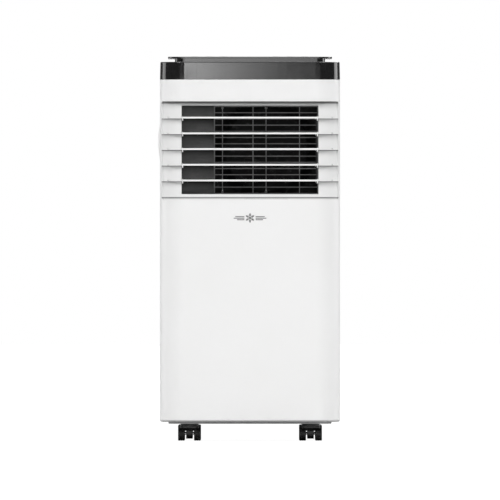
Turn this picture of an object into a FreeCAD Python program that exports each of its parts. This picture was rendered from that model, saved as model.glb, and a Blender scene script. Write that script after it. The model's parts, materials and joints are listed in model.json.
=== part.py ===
"""Portable air conditioner on four twin-wheel casters, in millimetres.

X runs to the right, the front faces -Y and Z points up. The origin is on the floor, at the middle of the
overall box. The upper half holds the cold side (filter, evaporator, blower, louvres), the lower half the hot
side (condenser, blower, exhaust collar) and the compressor. Each piece is written to parts/NAME.step.
"""
import FreeCAD
import Part

import math
import os

from FreeCAD import Vector

# ---------------------------------------------------------------- overall sizes
WIDTH = 328.0
DEPTH = 284.0            # casing alone, front to back
HEIGHT = 700.0           # floor to the tops of the buttons
REAR_PROUD = 16.0        # how far the exhaust collar stands out behind the casing
CORNER_R = 45.0          # upright corners of the cabinet
WALL = 2.6
PANEL = 2.4              # walls of inner mouldings
FIT = 0.3                # gap between pieces that move past or drop into each other
RUNNING = 0.05           # radial clearance of a pin in its hole
PAST = 9.0               # how far a cutter runs past what it cuts
ROOT = 1.0               # how deep a joined piece is sunk into its neighbour

# ---------------------------------------------------------------- casing and top
CASE_BOTTOM = 34.5
CASE_EDGE_R = 4.0        # rounding round the foot of the casing
RIM_WIDTH = 14.0         # inward lip at the foot of the casing
RIM_T = 3.0
BUTTON_PROUD = 0.5
PLATE_T = 3.0
PLATE_INSET = 14.6
NECK_H = 6.5
NECK_INSET = 27.3
SKIRT_H = 32.3           # the dark band round the top
SKIRT_DRAFT = 0.8
REBATE = 6.0             # depth of the cover's lip inside the casing
BAND_GAP = 0.7           # shadow line between casing and band
SEAM_FROM_FRONT = 112.0  # where front and rear casings meet on the sides
SEAM_GAP = 0.5
TONGUE = 8.0             # the rear casing's tongue, each way from the seam
TONGUE_T = 1.6
LIP_BEHIND = 1.8         # thickness of a lip that drops inside a wall

# ---------------------------------------------------------------- louvres
BROW_H = 39.6            # plain casing between the band and the recess
RECESS_H = 177.9
RECESS_WRAP = 30.0       # how far the recess runs back round the corners
RECESS_CORNER_R = 4.0
LEDGE_DEEP = 8.6         # inset at the top of each sloping ledge, on the front
LEDGE_SIDE = 1.6         # the same on the sides, where the ledges run out
LEDGE_R = 38.0           # corners of that inner outline
LEDGE_LIP = 1.2          # inset at its lip
LIP_T = 3.2
END_WALL = 2.0
OPEN_SIDE = 39.4         # side of the cabinet to the air opening
OPEN_DROP = 7.6          # top of the recess to the air opening
SILL_H = 9.0
JAMB_BACK = 30.0         # louvre frame's depth
BLADE_COUNT = 5
BLADE_FIRST = 29.6       # first blade, below the top of the recess
BLADE_PITCH = 28.6
BLADE_CHORD = 22.6
BLADE_PIVOT = 12.6       # pivot behind the blade's front edge
BLADE_SIDE_GAP = 1.0
BLADE_BACK_T = 1.2       # the blade behind its lip
BLADE_LIP_D = 2.4        # the lip, front to back
EAR_T = 1.8
PIN_R = 1.8
CRANK_BACK = 9.0
CRANK_DROP = 2.0
CRANK_R = 1.2
LINK_T = 1.6
LINK_W = 4.0
MASTER_BLADE = 3
VANE_PIVOT = 37.0        # behind the casing's face
VANE_CHORD = 14.0
VANE_T = 1.6
VANE_PIN_R = 1.5
VANE_KNUCKLE_R = 2.4
VANE_KNUCKLE_H = 5.0
VANE_END_GAP = 1.0
VANE_OFFSET = 79.4       # left vane, left of the one on the guard's centre
DUCT_BACK = 51.0
DUCT_SLOPE_W = 58.6      # width of the sloping wall on the duct's left
GUARD_FRONT = 48.0
GUARD_T = 2.0
GUARD_PITCH = 11.3
GUARD_BAR = 1.7
GUARD_BORDER = 2.2
GUARD_GAP = 0.1
GUARD_UPRIGHTS = (0.375, 0.82)   # shares of the guard's width

# ---------------------------------------------------------------- blowers and coils
UPPER_SCROLL_D = 80.0
UPPER_WHEEL_W = 56.0
BLOWER_GAP = 20.0        # wheel to scroll wall
INLET_LIP = 14.0         # how far a scroll's inlet ring covers the wheel
SPIDER_HUB_R = 26.0      # plate that carries the upper motor
SPIDER_ARM_HALF = 5.0
SHAFT_HOLE_R = 6.0       # in a scroll's wall
MOTOR_R = 36.0
MOTOR_L = 40.0
SHAFT_R = 4.0
SHAFT_IN = 26.0          # how far a shaft runs into its motor
WHEEL_BLADES = 24
WHEEL_DISC_T = 2.0
WHEEL_RIM_T = 3.0
WHEEL_RIM_W = 12.0
WHEEL_HUB_R = 12.0
WHEEL_HUB_L = 26.0
WHEEL_FIN_T = 1.4
WHEEL_FIN_W = 12.0
WHEEL_FIN_SET = 6.5      # fin's middle inside the wheel's outer face
WHEEL_FIN_TURN = 35      # degrees
LOWER_DRUM_R = 78.0
LOWER_SCROLL_D = 80.0
LOWER_GAP = 12.0         # lower scroll to the condenser
DUCT_IN_BORE = 1.0       # hot duct's half width, less than the collar's bore
SPOUT_IN_BORE = 3.0      # hot spout's outer face inside the collar's bore
SPOUT_T = 2.0
COIL_D = 34.0
COIL_BACK = 24.0         # coil to the rear face
FIN_T = 0.8
FIN_PITCH = 12.0
END_PLATE_T = 2.0
TUBE_PITCH = 30.0
TUBE_PROUD = 6.0         # tube past the end plate
TRAY_H = 11.0            # drip tray
COIL_TUBE_R = 3.5
COIL_SIDE = 34.0         # coil's end plate to the side of the cabinet
COMPRESSOR_R = 50.0
COMPRESSOR_H = 190.0
COMPRESSOR_WALL = 3.0
COMPRESSOR_PLATE_T = 3.0
COMPRESSOR_DOME_R = 18.0
WINDINGS_R = 41.0        # the motor and pump inside the compressor, as one block
WINDINGS_H = 150.0
RUBBER_R = 7.0
RUBBER_REACH = 0.86      # share of the base plate's radius at which the rubbers stand
RUBBER_H = 14.0
PIPE_R = 4.0
PIPE_BEND = 12.0
PIPE_APART = 16.0        # each pipe from the compressor's axis
HOT_PIPE_RISE = 32.0
HOT_PIPE_STEP = 30.0
COLD_PIPE_RISE = 14.0
COLD_PIPE_STEP = 44.0
BOARD_T = 1.6
BOARD_POST_H = 3.4

# ---------------------------------------------------------------- rear openings
FILTER_HALF_W = 110.0
FILTER_H = 172.0
FILTER_T = 3.0
PANEL_BORDER = 8.0       # flat frame round the slats
SLAT_LEAN = 2.2          # half the rise of a slat, back to front
UPRIGHT_HALF = 1.5
MESH_T = 2.0
MESH_FRAME = 5.0
SLAT_PITCH = 10.0
SLAT_T = 2.2
COLLAR_BORE_R = 65.0
COLLAR_WALL = 3.5
COLLAR_FLANGE = 4.0
COLLAR_FLANGE_T = 3.0
COLLAR_DEPTH = 14.0      # inside the casing
CORD_R = 4.0
GLAND_R = 9.0
GLAND_PROUD = 6.0
GLAND_ROUND = 2.5
NECK_IN = 2.0            # a gland's or cap's neck, less than its head
DRAIN_R = 9.0
DRAIN_RIB_HALF = 1.4
DRAIN_HEAD_T = 3.5
DRAIN_PROUD = 8.0
HOOK_REACH = 14.0
HOOK_HALF_W = 7.0
HOOK_HALF_T = 3.0
HOOK_TIP_T = 4.0
HOOK_TIP_H = 14.0
HOOK_FOOT_T = 2.5
HOOK_FOOT_HALF = 9.0
UPPER_HOOK = 36.0        # above the exhaust collar's axis
LOWER_HOOK = 32.0        # below the gland
SCREW_IN = 8.0           # shank behind the rear wall
SCREW_HEAD_H = 1.8
SCREW_SLOT_D = 0.9
SCREW_SLOT_HALF_L = 2.4
SCREW_SLOT_HALF_W = 0.4

# ---------------------------------------------------------------- base and casters
PAN_BOTTOM = 31.0
PAN_FLOOR = 3.0
PAN_H = 30.0
PAN_FLANGE = 2.5
PAN_EDGE_R = 1.5
SOCKET_WALL = 5.0
CASTER_SIDE = 53.6       # swivel axis to the side of the cabinet
CASTER_FRONT_Y = 48.0    # behind the casing's face
CASTER_REAR_Y = 50.0     # in front of the rear face
WHEEL_R = 12.8
WHEEL_W = 12.4
WEB_W = 12.0
WHEEL_GAP = 2.35
WHEEL_ROUND = 2.4
WHEEL_DISH_IN = 4.4      # dish's edge inside the tread
WHEEL_DISH_D = 1.2
HUB_CAP = 2.5            # wheel's outer face to the axle's end
HOOD_CLEAR = 0.5
HOOD_LOW = 5.2           # hood's lower edge above the axle
TRAIL = 9.0
HOOD_T = 2.0
STEM_R = 4.0
STEM_H = 10.0
AXLE_R = 2.0
CAP_R = 16.4
CAP_T = 2.2

# ---------------------------------------------------------------- side grips
GRIP_DROP = 113.3        # top of the casing to the middle of the grip
GRIP_H = 67.8
GRIP_PROUD = 3.6
GRIP_HALF_L = 52.0
CUP_HALF_L = 44.0
CUP_H = 30.0
CUP_DEPTH = 24.0
CUP_ROUND = 5.0
GRIP_FROM_SEAM = 14.0

# ---------------------------------------------------------------- controls
TRAY_DROP = 24.0         # top plate to the bottom of the sunken tray
BOARD_FROM_FRONT = 56.0  # middle of the display and buttons, behind the casing's face
BOARD_HALF = 118.0
BOARD_DROP = 14.0        # top plate to the display board
BOARD_HALF_Y = 24.0
SWITCH_H = 4.0
SWITCH_HALF = 3.0
DIGITS_HALF_X = 18.0
DIGITS_HALF_Y = 8.0
POST_R = 3.0
POST_HALF_Y = 18.0
POST_FROM_END = 6.0
BUTTON_R = 7.0
BUTTON_EDGE_R = 0.4
BUTTON_FLANGE = 2.0
STEM_OF_BUTTON_R = 2.2
BUTTON_TRAVEL = 1.0
BUTTON_FIRST = 48.0
BUTTON_PITCH = 26.0
WINDOW_HALF_X = 30.0
WINDOW_HALF_Y = 14.0
WINDOW_R = 3.0
WINDOW_T = 1.8
WINDOW_LEDGE = 3.0
WINDOW_GAP = 0.05
DIGITS_BELOW = 2.4       # plate's top to the digit block

# ---------------------------------------------------------------- worked out
HALF = WIDTH / 2
FRONT = -(DEPTH + REAR_PROUD) / 2
REAR = FRONT + DEPTH
MID_Y = (FRONT + REAR) / 2
PLATE_TOP = HEIGHT - BUTTON_PROUD
PLATE_BOTTOM = PLATE_TOP - PLATE_T
DECK_TOP = PLATE_BOTTOM - NECK_H
CASE_TOP = DECK_TOP - SKIRT_H
RECESS_TOP = CASE_TOP - BROW_H
RECESS_BOTTOM = RECESS_TOP - RECESS_H
OPEN_TOP = RECESS_TOP - OPEN_DROP
OPEN_BOTTOM = RECESS_BOTTOM + SILL_H
OPEN_HALF = HALF - OPEN_SIDE
SEAM_Y = FRONT + SEAM_FROM_FRONT
BLADE_Z = [RECESS_TOP - BLADE_FIRST - i * BLADE_PITCH for i in range(BLADE_COUNT)]
PIVOT_Y = FRONT + LEDGE_LIP + BLADE_PIVOT
GUARD_X = (-OPEN_HALF + DUCT_SLOPE_W, OPEN_HALF)
DUCT_X = sum(GUARD_X) / 2
DUCT_Z = (OPEN_TOP + OPEN_BOTTOM) / 2
VANE_X = (DUCT_X - VANE_OFFSET, DUCT_X)
UPPER_DRUM_R = (GUARD_X[1] - GUARD_X[0]) / 2
SCROLL_Y = FRONT + DUCT_BACK
MID_DECK = RECESS_BOTTOM + 3.0
EXHAUST_R = COLLAR_BORE_R + COLLAR_WALL + COLLAR_FLANGE
EXHAUST_X = HALF - CORNER_R - EXHAUST_R - 2.0
EXHAUST_Z = MID_DECK - EXHAUST_R - 4.0
COIL_Y = REAR - COIL_BACK - COIL_D
LOWER_Z = PAN_BOTTOM + PAN_H + LOWER_DRUM_R + 12.0
LOWER_Y = COIL_Y - LOWER_GAP - LOWER_SCROLL_D
FILTER_BOTTOM = OPEN_BOTTOM + 14.0
COIL_HALF = HALF - COIL_SIDE
CONDENSER_LOW = PAN_BOTTOM + PAN_H + 1.0
CONDENSER_HIGH = EXHAUST_Z - COLLAR_BORE_R - 4.0
EVAPORATOR_LOW = MID_DECK + PANEL + 2.0
EVAPORATOR_HIGH = CASE_TOP - 20.0
COMPRESSOR_Z = PAN_BOTTOM + PAN_FLOOR + RUBBER_H
COMPRESSOR_TOP = COMPRESSOR_Z + COMPRESSOR_PLATE_T + COMPRESSOR_H
FOOT_REACH = COMPRESSOR_R + 6.0
PAN_INSET = RIM_WIDTH + 1.5
COMPRESSOR_X = -(HALF - PAN_INSET - PANEL - FOOT_REACH - 2.0)
COMPRESSOR_Y = FRONT + PAN_INSET + PANEL + FOOT_REACH + 2.0
CASTER_X = HALF - CASTER_SIDE
AXLE_REACH = WEB_W / 2 + WHEEL_GAP + WHEEL_W - HUB_CAP
GRIP_Z = CASE_TOP - GRIP_DROP
TRAY_Z = PLATE_BOTTOM - TRAY_DROP
BOARD_Z = PLATE_BOTTOM - BOARD_DROP
BOARD_Y = FRONT + BOARD_FROM_FRONT
BUTTON_X = [side * (BUTTON_FIRST + i * BUTTON_PITCH) for side in (-1, 1) for i in range(3)]
EBOX = ((HALF - WALL - 34.0, HALF - WALL - 4.0), (FRONT + 30.0, FRONT + 90.0), (EXHAUST_Z - 62.0, EXHAUST_Z + 58.0))
GRIP_BASE = GRIP_Z - GRIP_H / 2 + 4.0
GRILLE_LOW = PAN_BOTTOM + PAN_H + 4.0
GRILLE_HIGH = EXHAUST_Z - EXHAUST_R - 12.0
GLAND_X = -(HALF - CORNER_R - GLAND_R - 4.0)
GLAND_Z = EXHAUST_Z - 40.0
DRAIN_X = -GLAND_X - 8.0
HOOK_X = GLAND_X + 8.0
DRAIN_Z = CASE_BOTTOM + RIM_T + DRAIN_R + 3.0
SCREW_R = 2.0
SCREW_X = HALF - CORNER_R - 2.0
SCREWS = [(side * SCREW_X, z) for side in (-1, 1)
          for z in (CASE_BOTTOM + 16.0, GRILLE_HIGH + 6.0, FILTER_BOTTOM + 10.0, CASE_TOP - 12.0)]


# ---------------------------------------------------------------- shape helpers
def box(x, y, z):
    """A box from three (low, high) pairs."""
    return Part.makeBox(x[1] - x[0], y[1] - y[0], z[1] - z[0], Vector(x[0], y[0], z[0]))


def rod(radius, start, end):
    """A cylinder between two points."""
    start = Vector(*start)
    along = Vector(*end) - start
    return Part.makeCylinder(radius, along.Length, start, along)


def fuse(shapes):
    return shapes[0].multiFuse(shapes[1:]).removeSplitter() if len(shapes) > 1 else shapes[0]


def prism(points, along):
    """A straight-sided solid from a closed run of points."""
    outline_points = [Vector(*p) for p in points]
    wire = Part.makePolygon(outline_points + [outline_points[0]])
    return Part.Face(wire).extrude(Vector(*along))


def rounded_rect(half_x, half_y, radius, z, centre=(0.0, MID_Y)):
    """A closed wire: a rectangle with round corners, flat at height z."""
    cx, cy = centre
    edges = []
    ends = []
    for turn in range(4):
        sx = (1, -1, -1, 1)[turn]
        sy = (1, 1, -1, -1)[turn]
        mid = Vector(cx + sx * (half_x - radius), cy + sy * (half_y - radius), z)
        angles = [math.radians(90 * turn + part) for part in (0, 45, 90)]
        arc = [mid + Vector(radius * math.cos(a), radius * math.sin(a), 0) for a in angles]
        edges.append(Part.Arc(*arc).toShape())
        ends.append((arc[0], arc[2]))
    joined = []
    for turn in range(4):
        joined.append(edges[turn])
        joined.append(Part.makeLine(ends[turn][1], ends[(turn + 1) % 4][0]))
    return Part.Wire(joined)


def plan(inset, z):
    """The cabinet's outline at height z, inset from the casing's outer face."""
    return rounded_rect(HALF - inset, DEPTH / 2 - inset, CORNER_R - inset, z)


def plan_prism(inset, low, high):
    return Part.Face(plan(inset, low)).extrude(Vector(0, 0, high - low))


def slab(half_x, half_y, radius, low, high, centre):
    return Part.Face(rounded_rect(half_x, half_y, radius, low, centre)).extrude(Vector(0, 0, high - low))


def edges_at(shape, test):
    """The edges whose every vertex passes the test."""
    return [e for e in shape.Edges if e.Vertexes and all(test(v.Point) for v in e.Vertexes)]


def pipe(points, radius, bend):
    """A round pipe along straight runs joined by arcs."""
    path = [Vector(*p) for p in points]
    edges = []
    start = path[0]
    for before, corner, after in zip(path, path[1:], path[2:]):
        into = (corner - before).normalize()
        out = (after - corner).normalize()
        half_turn = into.getAngle(out) / 2
        cut = bend * math.tan(half_turn)
        first = corner - into * cut
        last = corner + out * cut
        middle_way = (out - into).normalize()
        middle = corner + middle_way * (bend / math.cos(half_turn) - bend)
        edges.append(Part.makeLine(start, first))
        edges.append(Part.Arc(first, middle, last).toShape())
        start = last
    edges.append(Part.makeLine(start, path[-1]))
    spine = Part.Wire(edges)
    ring = Part.Wire(Part.makeCircle(radius, path[0], path[1] - path[0]))
    return spine.makePipeShell([ring], True, False)


def save(name, shape):
    """Write one piece, after checking that it is sound."""
    if not shape.isValid() or shape.Volume <= 0:
        raise RuntimeError(f"{name} is not a sound solid")
    shape.exportStep(f"parts/{name}.step")


# ---------------------------------------------------------------- casings
def recess_block(gap):
    """The space that the louvre frame drops into, less a gap all round."""
    block = box((-HALF - PAST, HALF + PAST), (FRONT - PAST, FRONT + RECESS_WRAP - gap),
                (RECESS_BOTTOM + gap, RECESS_TOP - gap))
    back = edges_at(block, lambda p: abs(p.y - (FRONT + RECESS_WRAP - gap)) < 0.01)
    long_edges = [e for e in back if abs(e.Length - 2 * (HALF + PAST)) < 0.01]
    return block.makeFillet(RECESS_CORNER_R, long_edges)


def casing():
    """The whole white shell, before it is split into front and rear."""
    outer = plan_prism(0, CASE_BOTTOM, CASE_TOP)
    foot = edges_at(outer, lambda p: abs(p.z - CASE_BOTTOM) < 0.01)
    outer = outer.makeFillet(CASE_EDGE_R, foot)
    inner = plan_prism(WALL, CASE_BOTTOM + RIM_T, CASE_TOP + PAST)
    return outer.cut(inner).cut(plan_prism(RIM_WIDTH, CASE_BOTTOM - PAST, CASE_BOTTOM + RIM_T + PAST))


def front_casing():
    keep = box((-HALF - PAST, HALF + PAST), (FRONT - PAST, SEAM_Y), (0, HEIGHT))
    return casing().common(keep).cut(recess_block(0))


def grip_hole(side):
    """The cut in one side wall for a grip's cup."""
    low, high = sorted((side * (HALF + PAST), side * (HALF - WALL - PAST)))
    return box((low, high), (grip_y() - CUP_HALF_L - PANEL - FIT, grip_y() + CUP_HALF_L + PANEL + FIT),
               (GRIP_BASE - PANEL - FIT, GRIP_BASE + CUP_H + PANEL + FIT))


def grip_y():
    return SEAM_Y + GRIP_HALF_L + GRIP_FROM_SEAM


def rear_casing():
    keep = box((-HALF - PAST, HALF + PAST), (SEAM_Y + SEAM_GAP, REAR + PAST), (0, HEIGHT))
    body = casing().common(keep)
    ring = plan_prism(WALL, CASE_BOTTOM + RIM_T + PAN_FLANGE + FIT, CASE_TOP - REBATE - FIT)
    ring = ring.cut(plan_prism(WALL + TONGUE_T, 0, HEIGHT))
    tongue = ring.common(box((-HALF, HALF), (SEAM_Y - TONGUE, SEAM_Y + TONGUE), (0, HEIGHT)))
    relief = plan_prism(WALL + 0.1, 0, HEIGHT)
    tongue = tongue.common(relief.fuse(box((-HALF, HALF), (SEAM_Y + SEAM_GAP, REAR), (0, HEIGHT))))
    body = fuse([body, tongue])
    wall_y = (REAR - WALL - PAST, REAR + PAST)
    cuts = [box((-FILTER_HALF_W, FILTER_HALF_W), wall_y, (FILTER_BOTTOM, FILTER_BOTTOM + FILTER_H)),
            box((-FILTER_HALF_W, FILTER_HALF_W), wall_y, (GRILLE_LOW, GRILLE_HIGH)),
            rod(COLLAR_BORE_R + COLLAR_WALL + FIT, (EXHAUST_X, wall_y[0], EXHAUST_Z),
                (EXHAUST_X, wall_y[1], EXHAUST_Z)),
            rod(GLAND_R - NECK_IN, (GLAND_X, wall_y[0], GLAND_Z), (GLAND_X, wall_y[1], GLAND_Z)),
            rod(DRAIN_R - NECK_IN, (DRAIN_X, wall_y[0], DRAIN_Z), (DRAIN_X, wall_y[1], DRAIN_Z)),
            grip_hole(-1), grip_hole(1)]
    for x, z in SCREWS:
        cuts.append(rod(SCREW_R, (x, wall_y[0], z), (x, wall_y[1], z)))
    for cut in cuts:
        body = body.cut(cut)
    return body


def grip(side):
    """A carrying cup let into one side. The left one has a bulged brow, the right one lies flush."""
    y = (grip_y() - CUP_HALF_L, grip_y() + CUP_HALF_L)
    z = (GRIP_BASE, GRIP_BASE + CUP_H)
    deep = HALF - CUP_DEPTH
    cup = box((deep, HALF), (y[0] - PANEL, y[1] + PANEL), (z[0] - PANEL, z[1] + PANEL))
    if side < 0:
        brow_r = ((GRIP_H / 2) ** 2 + GRIP_PROUD ** 2) / (2 * GRIP_PROUD)
        centre = HALF + GRIP_PROUD - brow_r
        brow = rod(brow_r, (centre, grip_y() - GRIP_HALF_L, GRIP_Z), (centre, grip_y() + GRIP_HALF_L, GRIP_Z))
        brow = brow.common(box((HALF, HALF + PAST), (grip_y() - GRIP_HALF_L, grip_y() + GRIP_HALF_L), (0, HEIGHT)))
        cup = fuse([cup, brow])
    pocket = box((deep + PANEL, HALF + PAST), y, z)
    back = edges_at(pocket, lambda p: abs(p.x - deep - PANEL) < 0.01)
    pocket = pocket.makeFillet(CUP_ROUND, back)
    cup = cup.cut(pocket)
    return cup if side > 0 else cup.mirror(Vector(0, 0, 0), Vector(1, 0, 0))


# ---------------------------------------------------------------- louvre frame and what turns in it
def ledge_root(inset, z):
    """The outline at the top of a ledge: deep on the front and shallow on the sides."""
    return rounded_rect(HALF - LEDGE_SIDE - inset, DEPTH / 2 - LEDGE_DEEP - inset, LEDGE_R - inset, z)


def louvre_frame():
    """Stepped ledges that wrap the corners, round a box-shaped air opening with holes for the blades."""
    levels = [RECESS_TOP] + [z - LIP_T / 2 for z in BLADE_Z] + [RECESS_BOTTOM]
    core = []
    for top, low in zip(levels, levels[1:]):
        core.append(Part.makeLoft([ledge_root(0, top), plan(LEDGE_LIP, low + LIP_T)], True, True))
        core.append(plan_prism(LEDGE_LIP, low, low + LIP_T))
    end = box((-HALF, HALF), (FRONT + RECESS_WRAP - FIT - END_WALL, FRONT + RECESS_WRAP), (0, HEIGHT))
    core.append(plan_prism(FIT, RECESS_BOTTOM, RECESS_TOP).common(end))
    hollow = Part.Face(ledge_root(END_WALL, 0)).extrude(Vector(0, 0, HEIGHT))
    ledges = fuse(core).cut(hollow).common(recess_block(FIT))
    tube = box((-OPEN_HALF - PANEL, OPEN_HALF + PANEL), (FRONT + LEDGE_DEEP, FRONT + JAMB_BACK),
               (OPEN_BOTTOM - PANEL, OPEN_TOP + PANEL))
    opening = box((-OPEN_HALF, OPEN_HALF), (FRONT - PAST, FRONT + JAMB_BACK + PAST), (OPEN_BOTTOM, OPEN_TOP))
    frame = fuse([ledges, tube]).cut(opening)
    for z in BLADE_Z:
        frame = frame.cut(rod(PIN_R + RUNNING, (-HALF, PIVOT_Y, z), (HALF, PIVOT_Y, z)))
    return frame


def blade(z):
    """One horizontal blade, lip to the front, with ears and pins at its ends and a crank pin on the right."""
    front = PIVOT_Y - BLADE_PIVOT
    back = front + BLADE_CHORD
    end = OPEN_HALF - BLADE_SIDE_GAP
    section = [(-end, front, z - LIP_T / 2), (-end, front, z + LIP_T / 2 - 0.5),
               (-end, front + 1.4, z + LIP_T / 2), (-end, back, z + BLADE_BACK_T - 0.5), (-end, back, z - 0.5),
               (-end, front + 4.0, z - 0.8), (-end, front + BLADE_LIP_D, z - LIP_T / 2)]
    body = prism(section, (2 * end, 0, 0))
    crank_y = PIVOT_Y + CRANK_BACK
    body = body.cut(box((end - EAR_T - LINK_T - 3.0, end + PAST), (PIVOT_Y + 4.0, back + PAST),
                          (z - PAST, z + PAST)))
    pieces = [body]
    for side in (-1, 1):
        reach = side * end
        ear = [(reach, PIVOT_Y - 9.0, z), (reach, PIVOT_Y - 5.0, z - 5.5), (reach, crank_y + 1.0, z - 5.0),
               (reach, crank_y + 3.0, z - CRANK_DROP), (reach, crank_y + 1.0, z + 1.0),
               (reach, PIVOT_Y, z + 2.6), (reach, PIVOT_Y - 4.0, z + 1.0)]
        pieces.append(prism(ear, (-side * EAR_T, 0, 0)))
        pieces.append(rod(PIN_R, (reach - side * 0.5, PIVOT_Y, z), (side * (OPEN_HALF + PANEL), PIVOT_Y, z)))
    crank = (end - EAR_T + 0.5, crank_y, z - CRANK_DROP)
    pieces.append(rod(CRANK_R, crank, (crank[0] - LINK_T - 1.6, crank[1], crank[2])))
    return fuse(pieces)


def blade_link():
    """The bar that hangs on the blades' crank pins. It fits the master's pin and is loose on the others."""
    x = OPEN_HALF - BLADE_SIDE_GAP - EAR_T - 0.4
    y = PIVOT_Y + CRANK_BACK
    bar = box((x - LINK_T, x), (y - LINK_W / 2, y + LINK_W / 2),
              (BLADE_Z[-1] - CRANK_DROP - LINK_W, BLADE_Z[0] - CRANK_DROP + LINK_W))
    for number, z in enumerate(BLADE_Z, 1):
        gap = RUNNING if number == MASTER_BLADE else FIT
        bar = bar.cut(rod(CRANK_R + gap, (x - PAST, y, z - CRANK_DROP), (x + PAST, y, z - CRANK_DROP)))
    return bar


def vane(x):
    """An upright vane on pins at its two ends."""
    y = FRONT + VANE_PIVOT
    low = OPEN_BOTTOM + VANE_END_GAP
    high = OPEN_TOP - VANE_END_GAP
    plate = slab(VANE_T / 2, VANE_CHORD / 2, VANE_T / 2 - 0.01, low, high, (x, y))
    knuckles = [rod(VANE_KNUCKLE_R, (x, y, foot), (x, y, foot + VANE_KNUCKLE_H))
                for foot in (low, high - VANE_KNUCKLE_H)]
    pins = [rod(VANE_PIN_R, (x, y, low + ROOT), (x, y, OPEN_BOTTOM - PANEL)),
            rod(VANE_PIN_R, (x, y, high - ROOT), (x, y, OPEN_TOP + PANEL))]
    return fuse([plate] + knuckles + pins)


def outlet_duct():
    """The dark box behind the louvre frame. Its left wall slopes back to the guard."""
    y = (FRONT + JAMB_BACK, FRONT + DUCT_BACK)
    tube = box((-OPEN_HALF - PANEL, OPEN_HALF + PANEL), y, (OPEN_BOTTOM - PANEL, OPEN_TOP + PANEL))
    tube = tube.cut(box((-OPEN_HALF, OPEN_HALF), (y[0] - PAST, y[1] + PAST), (OPEN_BOTTOM, OPEN_TOP)))
    z = OPEN_BOTTOM
    slope = [(-OPEN_HALF, y[0] + 1.0, z), (GUARD_X[0], FRONT + GUARD_FRONT - 1.0, z), (GUARD_X[0], y[1], z),
             (GUARD_X[0] - PANEL, y[1], z), (GUARD_X[0] - PANEL, FRONT + GUARD_FRONT + 1.0, z),
             (-OPEN_HALF, y[0] + 1.0 + PANEL, z)]
    duct = fuse([tube, prism(slope, (0, 0, OPEN_TOP - OPEN_BOTTOM))])
    for x in VANE_X:
        duct = duct.cut(rod(VANE_PIN_R + RUNNING, (x, FRONT + VANE_PIVOT, OPEN_BOTTOM - PAST),
                            (x, FRONT + VANE_PIVOT, OPEN_TOP + PAST)))
    return duct


def guard_grille():
    """The finger guard: thin level bars on a border and two uprights."""
    x = (GUARD_X[0] + GUARD_GAP, GUARD_X[1] - GUARD_GAP)
    y = (FRONT + GUARD_FRONT, FRONT + GUARD_FRONT + GUARD_T)
    z = (OPEN_BOTTOM + GUARD_GAP, OPEN_TOP - GUARD_GAP)
    rim = box(x, y, z).cut(box((x[0] + GUARD_BORDER, x[1] - GUARD_BORDER), (y[0] - PAST, y[1] + PAST),
                               (z[0] + GUARD_BORDER, z[1] - GUARD_BORDER)))
    bars = [rim]
    count = int((z[1] - z[0] - 2 * GUARD_BORDER) / GUARD_PITCH)
    first = (z[0] + z[1] - (count - 1) * GUARD_PITCH) / 2
    for i in range(count):
        level = first + i * GUARD_PITCH
        bars.append(box(x, (y[0] + 0.2, y[1] - 0.2), (level - GUARD_BAR / 2, level + GUARD_BAR / 2)))
    for share in GUARD_UPRIGHTS:
        at = x[0] + share * (x[1] - x[0])
        bars.append(box((at - GUARD_BAR / 2, at + GUARD_BAR / 2), (y[0] + 0.4, y[1]), z))
    return fuse(bars)


# ---------------------------------------------------------------- blowers
def spoked_ring(x, z, y, outer, inner, hub):
    """A flat ring with three arms to a hub plate that a motor bolts to."""
    plate = rod(outer, (x, y[0], z), (x, y[1], z)).cut(rod(inner, (x, y[0] - PAST, z), (x, y[1] + PAST, z)))
    arms = [rod(hub, (x, y[0], z), (x, y[1], z))]
    for turn in range(3):
        arm = box((-SPIDER_ARM_HALF, SPIDER_ARM_HALF), y, (0, inner + 2 * ROOT))
        arm.rotate(Vector(0, 0, 0), Vector(0, 1, 0), 120 * turn)
        arm.translate(Vector(x, 0, z))
        arms.append(arm)
    ring = fuse([plate] + arms)
    return ring.cut(rod(SHAFT_HOLE_R, (x, y[0] - PAST, z), (x, y[1] + PAST, z)))


def upper_scroll():
    """The cold-side blower housing: a flange on the outlet duct, a drum and a spoked inlet ring."""
    y = (SCROLL_Y, SCROLL_Y + UPPER_SCROLL_D)
    flange = box((-OPEN_HALF - PANEL, OPEN_HALF + PANEL), (y[0], y[0] + PANEL),
                 (OPEN_BOTTOM - PANEL, OPEN_TOP + PANEL))
    mouth = rod(UPPER_DRUM_R - 2 * ROOT, (DUCT_X, y[0] - PAST, DUCT_Z), (DUCT_X, y[0] + PAST, DUCT_Z))
    window = box(GUARD_X, (y[0] - PAST, y[0] + PAST), (OPEN_BOTTOM, OPEN_TOP))
    flange = flange.cut(mouth.common(window))
    drum = rod(UPPER_DRUM_R + PANEL, (DUCT_X, y[0], DUCT_Z), (DUCT_X, y[1], DUCT_Z))
    drum = drum.cut(rod(UPPER_DRUM_R, (DUCT_X, y[0] - PAST, DUCT_Z), (DUCT_X, y[1] + PAST, DUCT_Z)))
    inlet = spoked_ring(DUCT_X, DUCT_Z, (y[1] - PANEL, y[1]), UPPER_DRUM_R + PANEL,
                        UPPER_DRUM_R - BLOWER_GAP - INLET_LIP, SPIDER_HUB_R)
    above = box((-HALF, HALF), (y[0] - PAST, y[1] + PAST), (0, HEIGHT))
    return fuse([flange, drum.common(above), inlet])


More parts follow.
